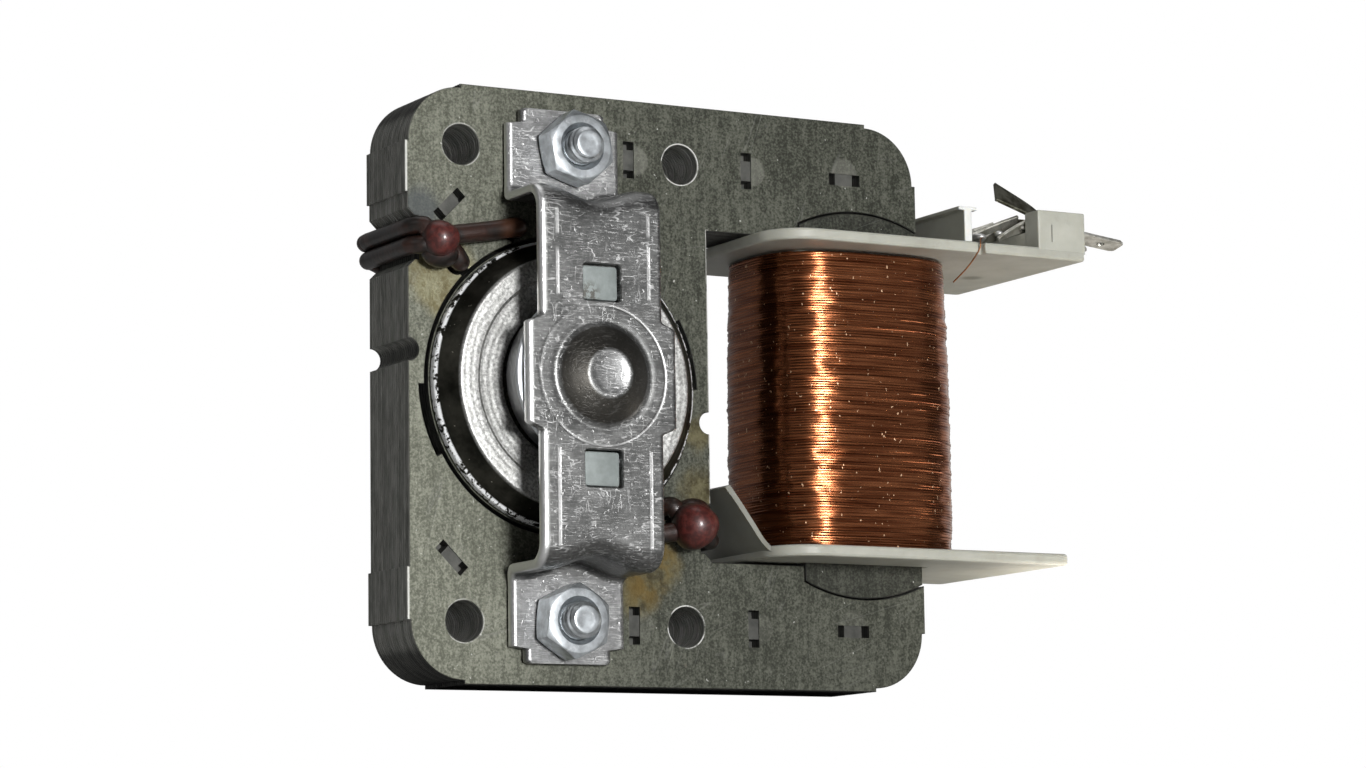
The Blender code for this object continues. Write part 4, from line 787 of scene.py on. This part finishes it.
def make_shading_coils():
    """Two loops of wire that grow thicker towards the bead of the weld, at both slots; the
    lower bead is the bigger one."""
    beads = {"upper": (1, 2.1, (-15.2, -7.1, 14.3)), "lower": (-1, 2.6, (14.4, -7.5, -14.5))}
    for name, (side, size, middle) in beads.items():
        shells = []
        for angle, offset, seed in ((POCKETS[0], 1.0, 1), (POCKETS[1], -1.0, 2)):
            path = shading_path(side, angle, offset)
            forward = np.clip((-5.0 - path[:, 1]) / 1.2, 0, 1)
            inward = np.clip((path[:, 0] * side + 17.2) / 1.5, 0, 1)
            thick = 0.94 + 0.10 * forward * inward + wobble(150, 0.01, seed)
            shells.append(tube(path, thick, (0.25, 0.0, 1.0), 20, closed=True))
        root = ball((2.1, 1.5, 1.5), (side * -14.8, -6.5, side * 12.9), 40, 25)
        coil = joined(*shells, ball(size, middle, 40, 25, 0.05), root)
        add_piece(f"shading_coil_{name}_loops", coil, enamel, f"shading_coil_{name}", 60)


# Bearing brackets

def bracket_half_width(z):
    """Half width of the blank at a height: middle, arm, foot and tongue, with soft steps."""

    def step(low, high):
        t = np.clip((np.abs(z) - low) / (high - low), 0, 1)
        return t * t * (3 - 2 * t)

    tongue = 1.65 * step(27.55, 27.85) + 0.35 * step(29.0, 29.3) ** 2
    return 8.75 - 1.6 * step(5.1, 6.0) - 0.5 * step(19.0, 21.0) - tongue


def dome_rise(radius):
    """Height of the pressed dome: steep rounded wall, flat top with a shallow dimple, and a
    fine groove round its foot."""
    knots = ((0.0, 1.44), (0.9, 1.46), (1.7, 1.53), (2.15, 1.66), (2.45, 1.70), (2.75, 1.58),
             (3.4, 1.28), (4.2, 0.86), (4.9, 0.40), (5.25, 0.10), (5.5, -0.06), (5.75, -0.07),
             (6.0, -0.01), (6.3, 0.0), (9.0, 0.0))
    rise = sum(np.interp(radius + shift, *zip(*knots)) for shift in (-0.16, -0.08, 0.0, 0.08, 0.16)) / 5
    return rise - 0.04 * np.exp(-((radius - FAINT_RING) / 0.12) ** 2)


def bracket_rows():
    """Half the sheet's middle line from the dome to the tongue: height over the stack, z past
    the riser, and the normal along z and along the height."""
    top, low, lean, toe = 9.0, 0.8, 2.3, 1.3    # raised face, foot, and the radii of both bends
    bend = np.radians(np.linspace(0, 90, 11))[1:]
    face_z = np.concatenate([np.arange(0, 8.0, 0.17), np.linspace(8.0, 14.5, 16)])
    fall = np.linspace(top - lean, low + toe, 9)[1:]
    foot_z = np.concatenate([np.linspace(1.7, 7.9, 12), np.linspace(7.95, 8.25, 7), np.linspace(8.4, 9.3, 6),
                             [9.5, 9.62, 9.7]])
    parts = [(top, face_z - RISER_Z, 0, 1),
             (top - lean * (1 - np.cos(bend)), -lean + lean * np.sin(bend), np.sin(bend), np.cos(bend)),
             (fall, 0, 1, 0),
             (low + toe * (1 - np.sin(bend)), toe * (1 - np.cos(bend)), np.cos(bend), np.sin(bend)),
             (low, foot_z, 0, 1)]
    return np.concatenate([np.stack(np.broadcast_arrays(*part), 1) for part in parts])


def bracket_shell(side):
    """The sheet as one closed strip: x over its width and the path over its length, both on a
    grid. The path runs foot, riser, raised face, riser, foot; where the nut stands the riser
    draws back by a smooth bell of x. The dome is added to the raised face."""
    half = bracket_rows()
    height, beyond, normal_z, normal_h = np.concatenate([half[:0:-1], half]).T
    sign = np.concatenate([-np.ones(len(half) - 1), np.ones(len(half))])
    width = bracket_half_width(sign * (beyond + RISER_Z))
    across, blunt = np.linspace(-1, 1, 111), np.radians((67, 45, 23, 0))
    burr = [(0, -0.38), (0.04, -0.46)]
    rim = np.concatenate([np.stack([0.5 - 0.5 * np.cos(blunt), 0.5 * np.sin(blunt)], 1), burr])
    u = np.concatenate([across, np.ones(len(rim)), -across, -np.ones(len(rim))])
    over_edge = np.concatenate([0.5 + 0 * across, rim[:, 0], 0.12 + 0 * across, rim[::-1, 0]])
    depth = np.concatenate([0.5 + 0 * across, rim[:, 1], -0.5 + 0 * across, rim[::-1, 1]])
    x = u[None] * (width[:, None] - over_edge[None])
    bell = (1 + np.cos(pi * np.clip(x / 5.6, -1, 1))) / 2
    along_face = np.clip((beyond + 9.0) / 9.0, 0, 1)[:, None]
    draw = 1.4 * bell * along_face ** 2 * np.clip(1 - (beyond[:, None] - 1.3) / 3.0, 0, 1)
    h = height[:, None] + depth[None] * normal_h[:, None]
    z = sign[:, None] * (beyond[:, None] + RISER_Z - draw + depth[None] * normal_z[:, None])
    radius = np.hypot(x, z)
    h = h + dome_rise(radius) * (radius < 8.6)
    points = np.stack([x, side * (FRONT + h), z], -1)
    return joined(grid(points, close_v=True), fan(points[0]), fan(points[-1]))


def bracket_cutters(side, open_dome):
    """Square windows with broken rims, the screw holes, and the shaft's hole."""
    deep = [(side * 12.0, 0), (side * (FACE - 0.1), 0), (side * (FACE + 0.1), -0.2), (side * 15.0, -0.2)]
    tools = []
    for upward in (1, -1):
        eye = upward * EYE_Z
        tools.append(plate(box((-2.2, eye - 1.95), (2.2, eye + 1.95), 0.35, 4), deep))
        hole = circle((upward * SCREW_X, upward * HOLE_Z), 2.3, 32)
        tools.append(plate(hole, [(side * 4.9, 0), (side * 6.6, 0)]))
    if open_dome:
        tools.append(plate(circle((0, 0), 2.2, 40), [(side * 12.0, 0), (side * 17.5, 0)]))
    return tools


def make_brackets():
    """Both pressed sheets; only the rear dome is open, for the shaft."""
    for name, side in (("front", -1), ("rear", 1)):
        add_piece(name + "_bracket_sheet", bracket_shell(side), sheet, name + "_bracket", 38,
                  carve=bracket_cutters(side, side > 0))


def make_retainers():
    """Pressed cup with a rolled rim, and a staked tab in each window of the bracket."""
    top, low, wall = 12.95, 8.6, 0.6
    profile = np.concatenate([
        [(3.95, low)], arc((8.0, low + 0.6), 0.6, -90, -10, 5), [(9.05, top - wall)],
        arc((9.1, top - wall / 2), 0.3, -90, 90, 6), [(8.75, top), (8.05, low + wall), (3.95, low + wall)]])
    layers = ((13.75, 0.12), (13.71, 0.04), (13.63, 0), (12.4, 0))
    for name, side in (("front", -1), ("rear", 1)):
        tabs = []
        for eye in (EYE_Z, -EYE_Z):
            tab = box((-2.02, eye - 1.78), (2.02, eye + 1.78), 0.3, 4)
            tabs.append(plate(tab, [(side * height, step) for height, step in layers]))
        cup = joined(turned(profile, flip=side), *tabs)
        add_piece(name + "_retainer_cup", cup, cup_zinc, name + "_retainer", 35)


# Screws and nuts

def nut_shell(middle, turn, low, high):
    """Hexagon nut: at each angle the corner distance of the hexagon meets a 30 degree cone at
    both ends; inside, a countersink leads to the thread's bore."""
    angle = np.linspace(0, 2 * pi, 144, endpoint=False)
    six = (angle + pi / 6) % (pi / 3) - pi / 6
    hexagon = np.minimum(3.5 / np.cos(six), 4.0)
    fall = 0.03 + np.maximum(hexagon - 3.42, 0.0) * np.tan(radians(30))
    profile = [(2.55, low), (3.3, low), (3.42, low + 0.03), (hexagon, low + fall), (hexagon, high - fall),
               (3.42, high - 0.03), (3.3, high), (2.4, high), (2.02, high - 0.4), (2.02, low + 0.55)]
    radius, y = (np.stack([np.broadcast_to(part, angle.shape) for part in parts], 1)
                 for parts in zip(*profile))
    way = (angle + radians(turn))[:, None]
    points = np.stack([middle[0] + radius * np.cos(way), y, middle[1] + radius * np.sin(way)], -1)
    return grid(points, close_u=True, close_v=True)


def thread_shell(middle, tip, root):
    """Screw thread of 0.7 mm pitch at the front: the radius is a triangle wave of height less
    turn, and it dies out towards the chamfered tip."""
    turn = np.linspace(0, 2 * pi, 48, endpoint=False)[:, None]
    y = np.linspace(root, tip, int((tip - root) / 0.05))
    wave = np.abs(((y / 0.7 - turn / (2 * pi)) % 1.0) * 2 - 1)
    radius = np.minimum(1.50 + 0.46 * np.clip(wave * 1.3 - 0.15, 0, 1), 1.45 + (tip - y) * 1.1)
    radius = np.concatenate([0 * turn, radius, np.ones_like(turn) * (1.38, 0.9, 0.0)], 1)
    y = np.concatenate([[root], y, [tip + 0.03, tip - 0.02, tip - 0.05]])
    points = [middle[0] + radius * np.cos(turn), 0 * turn - y, middle[1] + radius * np.sin(turn)]
    return grid(np.stack(points, -1), close_u=True)


def make_fasteners():
    """Nuts and threads at the front, and at the rear round heads with a cross recess."""
    bulge = np.linspace(0.15, pi / 2, 8)
    crest = np.stack([1.8 + 1.8 * np.cos(bulge), 7.2 + 1.55 * np.sin(bulge)], 1)
    shank = [(0, -5.9), (1.9, -5.9), (1.9, 6.35), (3.6, 6.35), (3.6, 7.2)]
    profile = np.concatenate([shank, crest, [(0, 8.75)]])
    quarter = np.array([(2.0, -0.45), (2.0, 0.45), (0.45, 0.45)])
    cross = np.concatenate([quarter @ np.linalg.matrix_power([[0, 1], [-1, 0]], count) for count in range(4)])
    for name, side, turn in (("upper", 1, 12), ("lower", -1, -4)):
        middle = (side * SCREW_X, side * HOLE_Z)
        nut = nut_shell(middle, turn, -9.35, -6.35)
        add_piece(f"clamp_nut_{name}_hex", nut, zinc_nut, f"clamp_nut_{name}", 24)
        head = turned(profile, 64, closed=False, middle=middle)
        add_piece(f"clamp_screw_{name}_head", head, zinc_nut, f"clamp_screw_{name}", 35,
                  carve=[plate(cross + middle, [(7.35, 0.25), (9.2, -0.1)])])
        thread = thread_shell(middle, 10.95, 6.0)
        add_piece(f"clamp_screw_{name}_thread", thread, zinc_nut, f"clamp_screw_{name}", 50)


# Rotor

def skew(y):
    """Turn of a rotor slot at a depth: one slot's pitch over the stack."""
    return 2 * pi / BARS * (y + FRONT) / (2 * FRONT)


def make_rotor():
    """End rings of the cage, the laminated core with its skewed surface, and the shaft."""
    profile = np.concatenate([
        [(15.25, RING_FOOT), (15.4, 5.15), (15.4, 5.6)], arc((15.0, 5.75), 0.4, 0, 42, 5)[1:],
        [(14.6, 6.6), (14.1, 7.35)], arc((13.25, 7.95), 0.3, 35, 90, 5), [(11.65, 8.25)],
        [(11.45, 8.24), (11.3, 8.1), (11.1, 7.97), (10.8, 7.95), (8.6, 7.95)],
        arc((8.55, 7.8), 0.15, 90, 170, 3), [(8.1, RING_FOOT)]])
    shells = [turned(profile, 180, flip=flip) for flip in (-1, 1)]
    y = np.linspace(-5.4, 5.4, 13)
    for start in np.linspace(0, 2 * pi, BARS, endpoint=False):
        way = start - skew(y)
        bar = np.stack([BAR_CIRCLE * np.cos(way), y, BAR_CIRCLE * np.sin(way)], 1)
        shells.append(tube(bar, 1.0, (1.0, 0.0, 0.3), 12))
    add_piece("rotor_cage_rings", joined(*shells), cast, "rotor_cage", 28, "rotor")
    turn = np.linspace(0, 2 * pi, 240, endpoint=False)[:, None]
    heights, insets = np.array(lamination_layers(5, 0.04, 0.005)).T
    radius = np.concatenate([[1.9], 15.5 - insets, [1.9]])
    y = np.concatenate([[-FRONT], heights, [FRONT]])
    radius = radius - 0.05 * (np.cos(BARS * (turn + skew(y))) > 0.985) * (radius > 3)
    points = np.stack([radius * np.cos(turn), y + 0 * turn, radius * np.sin(turn)], -1)
    core = grid(points, close_u=True, close_v=True)
    add_piece("rotor_core_laminations", core, rotor_steel, "rotor_core", 25, "rotor")
    shaft = [(0, -14.4), (1.2, -14.4), (1.6, -14.0), (1.6, 33.75), (1.5, 34.0), (1.2, 34.25), (0, 34.25)]
    add_piece("shaft_pin", turned(shaft, 64, closed=False), ground, "shaft", 30, "rotor")


# Coil

def make_winding():
    """Turns of wire on a grid of angle and height. The section is a superellipse of power 3,
    |x/a|^3 + |y/b|^3 = 1, moved outwards by a ridge per turn, by chance per turn, and by a bow
    and a taper over the height; a square bore leaves room for the bobbin's tube."""
    turns, bunch, rows, columns, reach = 108, 6, 6, 176, 16.15
    wire_half = (11.87, 9.12)
    angle = np.linspace(0, 2 * pi, columns, endpoint=False)
    part = np.stack([np.cos(angle), np.sin(angle)], 1)
    ring = np.sign(part) * np.abs(part) ** (2 / 3) * wire_half
    outward = np.sign(ring) * (np.abs(ring) / wire_half) ** 2 / wire_half
    outward /= np.linalg.norm(outward, axis=1, keepdims=True)
    z = np.linspace(-reach, reach, turns * rows + 1)
    phase = (z + reach) / (2 * reach) * turns
    index = np.minimum(phase.astype(int), turns - 1)
    random = np.random.default_rng(8)
    each = random.normal(0, 0.026, (turns, 1))
    for wave in (2, 5, 9, 13, 17):
        strength = np.convolve(random.normal(0, 0.023, turns + 2), (0.35, 0.6, 0.35), "valid")[:, None]
        each = each + strength * np.sin(wave * angle + np.cumsum(random.normal(0, 0.5, (turns, 1)), 0))
    chance = random.normal(0, 0.035, turns // bunch + 1)
    group = np.interp(np.arange(turns), np.arange(0, turns + bunch, bunch), chance)[:, None]
    ridge = 0.038 * np.sqrt(np.abs(np.sin(pi * phase)))
    bow = 0.25 * (1 - (z / reach) ** 2) - 0.35 * (z / reach + 1) / 2
    offset = (bow + ridge)[:, None] + (each + group)[index]
    sway = 0.06 * np.sin(angle[None] * 2 + index[:, None] * 0.45) * np.clip(reach - abs(z[:, None]), 0, 1)
    points = np.stack([CORE_X + ring[None, :, 0] + outward[None, :, 0] * offset,
                       ring[None, :, 1] + outward[None, :, 1] * offset, z[:, None] + sway], -1)
    hole = oriented(box((CORE_X - 9, -6.25), (CORE_X + 9, 6.25), 1.2, 8), True)
    inside = np.stack([lifted(hole, height, "Z") for height in (-reach, reach)])
    ends = [filled([points[level][:, :2], hole], points[level][0, 2], "Z") for level in (0, -1)]
    turned_wire = joined(grid(points, close_v=True), grid(inside, close_v=True), *ends)
    add_piece("winding_turns", turned_wire, wire, "winding", 80)


def wall_plate(x, z, y, edge):
    """A small moulded block between two values each of x, z and y."""
    return plate(box((x[0], z[0]), (x[1], z[1]), edge, 3), edge_layers(*y, edge))


def flap_shell():
    """Thin flap that leaves the lower flange's left end and rises between frame and coil to
    the window's wall; its front edge runs back as it rises."""
    rows, columns = 30, 14
    spine = smooth_path([(24.6, -17.1), (23.1, -17.1), (22.15, -16.1), (21.05, -13.9), (19.9, -11.6),
                         (19.1, -9.9)], rows)
    across = np.stack([np.gradient(spine[:, 0]), np.gradient(spine[:, 1])], 1)
    across = across[:, ::-1] * (1, -1) / np.linalg.norm(across, axis=1, keepdims=True)
    across *= np.linspace(0.22, 0.32, rows)[:, None]
    front, rear = np.linspace(-10.6, -6.5, rows)[:, None], 7.8
    y = front + (rear - front) * np.linspace(0, 1, columns)
    right, left = (np.stack([0 * y + x[:, None], y, 0 * y + z[:, None]], -1)
                   for x, z in ((spine + across).T, (spine - across).T))
    loop = np.concatenate([right, left[:, ::-1]], 1)
    ends = [grid(np.stack([end[:columns], end[columns:][::-1]])) for end in (loop[0], loop[-1])]
    return joined(grid(loop, close_v=True), *ends)


def make_bobbin():
    """Tube, flanges, the bent flap, the terminal shelf's walls and the post with its cap."""

    def moulded(name, shell, finish=plastic):
        add_piece("bobbin_" + name, shell, finish, "bobbin", 20)

    left, side, shelf, flange_end = 22.4, 12.95, 62.2, 58.9
    upper = rounded([(left, -side), (47.85, -side), (47.85, 0.9 - side), (48.75, 0.9 - side), (48.75, -side),
                     (shelf, -side), (shelf, side), (left, side)], [5, 0.2, 0.1, 0.1, 0.2, 0.5, 0.8, 5], 12)
    lower = box((left, -side), (flange_end, side), [5, 0.8, 0.8, 5], 12)
    hole = box((CORE_X - 7.8, -5.05), (CORE_X + 7.8, 5.05), 0.3, 2)
    around = box((CORE_X - 8.7, -5.95), (CORE_X + 8.7, 5.95), 0.9, 5)
    moulded("upper_flange", plate(upper, edge_layers(FLANGE_LOW, FLANGE_TOP, 0.3), [hole], "Z"))
    moulded("tube", plate(around, [(-17.0, 0), (17.0, 0)], [hole], "Z"))
    moulded("lower_flange", plate(lower, edge_layers(-FLANGE_TOP, -FLANGE_LOW, 0.3), [hole], "Z"))
    moulded("flap", flap_shell(), flap_plastic_painted_shade)
    walls = ((-12.94, -10.25), (-7.15, -5.35), (-2.25, 0.45))
    floors = ((-10.5, -6.9), (-5.6, -2.0))
    blocks = [wall_plate((55.9, 62.19), (17.2, 21.9), y, 0.15) for y in walls]
    blocks += [wall_plate((55.9, 62.19), (17.2, 19.7), y, 0.05) for y in floors]
    moulded("terminal_block", joined(*blocks), block_plastic)
    post = rounded([(47.55, 17.2), (48.5, 17.2), (48.5, 21.55), (49.22, 21.6), (49.22, 22.0), (46.83, 22.0),
                    (46.83, 21.6), (47.55, 21.55)], [0, 0, 0.15, 0.1, 0.12, 0.12, 0.1, 0.15], 3)
    moulded("post", plate(post, edge_layers(-10.8, 2.0, 0.12)), post_plastic_shade_and_highlight)


def strip_shell(spine, widths, y, roll):
    """Sheet strip of changing width along a path in the x-z plane, rolled about that path by
    an angle per point; its section is flat with broken edges."""
    path = np.stack([spine[:, 0], np.broadcast_to(y, len(spine)), spine[:, 1]], 1)
    half, edge = 0.2, 0.08                      # half the thickness, and the broken edge
    upper = [(-1, 0, half - edge), (-1, edge, half), (1, -edge, half), (1, 0, half - edge)]
    side, step, high = np.array(upper + [(side, step, -high) for side, step, high in upper[::-1]]).T
    wide = side * np.array(widths)[:, None] / 2 + step
    turn = np.broadcast_to(np.radians(roll), len(spine))[:, None]
    rolled = [wide * np.sin(turn) + high * np.cos(turn), wide * np.cos(turn) - high * np.sin(turn)]
    return sweep(path, np.stack(rolled, -1), (0.0, 1.0, 0.0))


def make_terminals():
    """Tinned strips: a tab with a hole, a tail that forks into two prongs, and at the front a
    raised tongue; the coil's lead is soldered into the front fork."""
    along = np.linspace(0, 1, 30)
    prongs = (("front", -1, (52.6, 18.75), (56.4, 20.6)), ("rear", 1, (49.9, 19.05), (56.4, 21.4)))
    drops = (("tail", (50.5, -8.7, 18.95), (0.9, 1.35, 0.5)), ("fork", (53.6, -8.5, 19.7), (0.5, 0.55, 0.35)))
    for name, y, reach in (("front", TONGUE_Y, 69.75), ("rear", -3.8, 68.2)):
        spine = smooth_path([(reach, 19.4), (66.0, 19.85), (62.7, 20.25), (60.0, 20.25), (55.6, 20.35)], 60)
        x = spine[:, 0]
        width = 2.5 - 0.7 * np.clip((x - reach + 0.45) / 0.5, 0, 1)
        strip = strip_shell(spine, width, y, -13 * np.clip((x - 61.5) / 2, 0, 1))
        hole = plate(circle((67.3, y), 0.5, 32), [(18.0, 0), (21.5, 0)], axis="Z")
        add_piece(f"terminal_{name}_strip", strip, tin, f"terminal_{name}", 25, carve=[hole])
        for end, side, tip, root in prongs:
            path = smooth_path([root, *np.linspace(root, tip, 4)[1:3] + (0.0, 0.1), tip], len(along))
            prong = strip_shell(path, 1.6 - 1.0 * along, y + side * (0.75 + 0.25 * along), -48)
            add_piece(f"terminal_{name}_prong_{end}", prong, tin, f"terminal_{name}", 25)
    rise = smooth_path([(60.9, 20.6), (59.8, 21.4), (57.9, 22.5), (53.1, 24.4)], 24)
    tongue = strip_shell(rise, np.linspace(1.9, 2.9, 24), TONGUE_Y, np.linspace(20, 57, 24))
    add_piece("terminal_front_tongue", tongue, tarnish, "terminal_front", 25)
    for name, place, size in drops:
        add_piece(f"solder_{name}", ball(size, place, 24, 14), solder, None, 60)
    lead = smooth_path([(50.6, -9.6, 18.8), (49.4, -11.2, 18.5), (48.5, -12.35, 18.0), (48.3, -12.5, 17.1),
                        (47.9, -11.9, 16.0), (47.4, -11.0, 14.9), (47.0, -9.0, 13.7)], 60)
    add_piece("winding_lead", tube(lead, 0.085, (1.0, 0.2, 0.0), 8), wire_end, None, 60)


# Stage, camera and light

def make_stage():
    """Matt pale floor that the camera sees from above only, because the photograph looks up
    from below the motor's base."""
    size, low = 3.0, -0.0002
    mesh = bpy.data.meshes.new("floor")
    corners = [(-size, -size, low), (size, -size, low), (size, size, low), (-size, size, low)]
    mesh.from_pydata(corners, [], [(0, 1, 2, 3)])
    f = Nodes(bpy.data.materials.new("pale_floor"))
    matt = f.tree.nodes["Principled BSDF"]
    f.feed(matt.inputs["Base Color"], (0.85, 0.85, 0.84))
    f.feed(matt.inputs["Roughness"], 0.9)
    below = f.node("ShaderNodeNewGeometry", {}, out="Backfacing")
    clear = f.node("ShaderNodeBsdfTransparent", {})
    seen = f.node("ShaderNodeMixShader", {}, below, Value(f, matt.outputs[0]), clear)
    f.feed(f.tree.nodes["Material Output"].inputs["Surface"], seen)
    mesh.materials.append(f.owner)
    floor = bpy.data.objects.new("floor", mesh)
    bpy.context.scene.collection.objects.link(floor)


def make_world():
    """White for the camera; mirror-like surfaces see the same white behind the motor and a
    dim room in front of it, and dull ones get one even level."""
    world = bpy.data.worlds.new("studio")
    bpy.context.scene.world = world
    f = Nodes(world)
    depth = f.node("ShaderNodeSeparateXYZ", {}, f.node("ShaderNodeTexCoord", {}, out="Generated"), out="Y")
    ramp = f.node("ShaderNodeMapRange", dict(interpolation_type="SMOOTHSTEP"), depth, 0.3, 0.95, ROOM, BEHIND)
    shown, studio, white = (f.node("ShaderNodeBackground", {}, (1.0, 1.0, 1.0), strength)
                            for strength in (AMBIENT, ramp, 1.0))
    for ray, other in (("Is Glossy Ray", studio), ("Is Transmission Ray", white), ("Is Camera Ray", white)):
        shown = f.node("ShaderNodeMixShader", {}, f.node("ShaderNodeLightPath", {}, out=ray), shown, other)
    f.feed(f.tree.nodes["World Output"].inputs["Surface"], shown)


def add_lamp(name, place, aim, size, power, colour=(1.0, 1.0, 1.0)):
    """Soft rectangular lamp that looks at a point; places in metres."""
    data = bpy.data.lights.new(name, "AREA")
    data.color = colour
    data.shape, data.size, data.size_y, data.energy = "RECTANGLE", *size, power
    lamp = bpy.data.objects.new(name, data)
    lamp.location = place
    lamp.rotation_euler = (Vector(aim) - Vector(place)).to_track_quat("-Z", "Y").to_euler()
    lamp.visible_camera = False
    bpy.context.scene.collection.objects.link(lamp)


def make_camera():
    """Pinhole camera solved from the photograph: it stands in front at the left, a little
    below the base, and looks up."""
    turn, rise, roll = radians(29.579), radians(7.873), radians(-0.868)
    ahead = np.array([sin(turn) * cos(rise), cos(turn) * cos(rise), sin(rise)])
    right = np.array([cos(turn), -sin(turn), 0.0])
    up = np.cross(right, ahead)
    right, up = cos(roll) * right + sin(roll) * up, -sin(roll) * right + cos(roll) * up
    data = bpy.data.cameras.new("camera")
    data.lens, data.sensor_width, data.clip_start = 103.84, 36.0, 0.02
    camera = bpy.data.objects.new("camera", data)
    place = np.array([-191.7, -368.59, -25.26]) * MM
    camera.matrix_world = Matrix(np.column_stack([right, up, -ahead, place]).tolist() + [[0, 0, 0, 1]])
    bpy.context.scene.collection.objects.link(camera)
    bpy.context.scene.camera = camera


frame_steel = lamination_steel("frame_steel", stained=True)
# Painted shade: the coil's core is a darker copy of the frame's steel.
core_steel_painted_shade = lamination_steel("core_steel_painted_shade", light=0.62)
rotor_steel = lamination_steel("rotor_steel")
enamel = shading_enamel()
sheet = pressed_sheet()
cup_zinc = dull_zinc()
zinc_nut = zinc()
cast = cast_aluminium()
ground = plain("ground_steel", (0.42, 0.43, 0.44), (0.60, 0.61, 0.62), 0.22, 1.0, 0.8, 0.004)
wire = copper()
wire_end = plain("copper_lead", (0.20, 0.085, 0.035), (0.36, 0.16, 0.07), 0.35, 0.9)
# Copies of one plastic at different greys as painted light and shade: the block lighter, the post and the
# flap darker.
plastic = nylon("off_white_plastic", 0.90)
block_plastic = nylon("block_plastic", 0.98)
post_plastic_shade_and_highlight = nylon("post_plastic_shade_and_highlight", 0.80, 2.6)
flap_plastic_painted_shade = nylon("flap_plastic_painted_shade", 0.62)
tin = tinned("tarnished_tin", (0.40, 0.39, 0.34), (0.64, 0.63, 0.58))
tarnish = tinned("dark_tarnish", (0.070, 0.066, 0.040), (0.24, 0.235, 0.19))
solder = tinned("solder", (0.50, 0.50, 0.48), (0.85, 0.85, 0.84))
bronze = plain("sintered_bronze", (0.25, 0.17, 0.08), (0.42, 0.30, 0.16), 0.45, 0.8, 0.3)
felt = plain("oiled_felt", (0.28, 0.22, 0.12), (0.46, 0.38, 0.24), 0.85, 0.0, 0.4, 0.08)
fibre = plain("fibre_washer", (0.22, 0.14, 0.07), (0.36, 0.25, 0.14), 0.65, 0.0, 0.4)

make_frame()
make_shading_coils()
make_brackets()
make_retainers()
make_fasteners()
make_rotor()
make_winding()
make_bobbin()
make_terminals()

# The hidden inner solids stay as the CAD has them
for node, finish in (("bearing", bronze), ("oil_felt", felt), ("thrust_washer", fibre), ("spacer", ground)):
    for end in ("front_", "rear_"):
        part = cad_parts[end + node]
        part.data.materials.clear()
        part.data.materials.append(finish)

make_stage()
make_world()
add_lamp("key_softbox", (-0.04, -0.64, 0.05), (0.02, 0, 0.03), (0.115, 0.09), 3.7)
add_lamp("right_softbox", (0.55, -0.65, 0.22), (0.02, 0, 0.03), (0.5, 0.4), 0.22)
add_lamp("side_softbox", (0.60, 0.16, 0.07), (0.045, 0, 0.03), (0.5, 0.4), 0.42)
add_lamp("left_softbox", (-0.75, -0.10, 0.45), (0.01, 0, 0.03), (0.5, 0.5), 0.42)
add_lamp("wide_softbox", (-0.042, -0.66, 0.055), (0.02, 0, 0.03), (0.14, 0.36), 1.2)
add_lamp("low_softbox", (0.074, -0.012, 0.003), (0.074, -0.011, 0.05), (0.03, 0.03), 0.014, (1.0, 0.93, 0.84))
add_lamp("top_softbox", (0.05, 0.10, 0.85), (0.01, 0, 0.03), (0.7, 0.7), 1.6)
make_camera()

bpy.context.scene.view_settings.view_transform = "Standard"
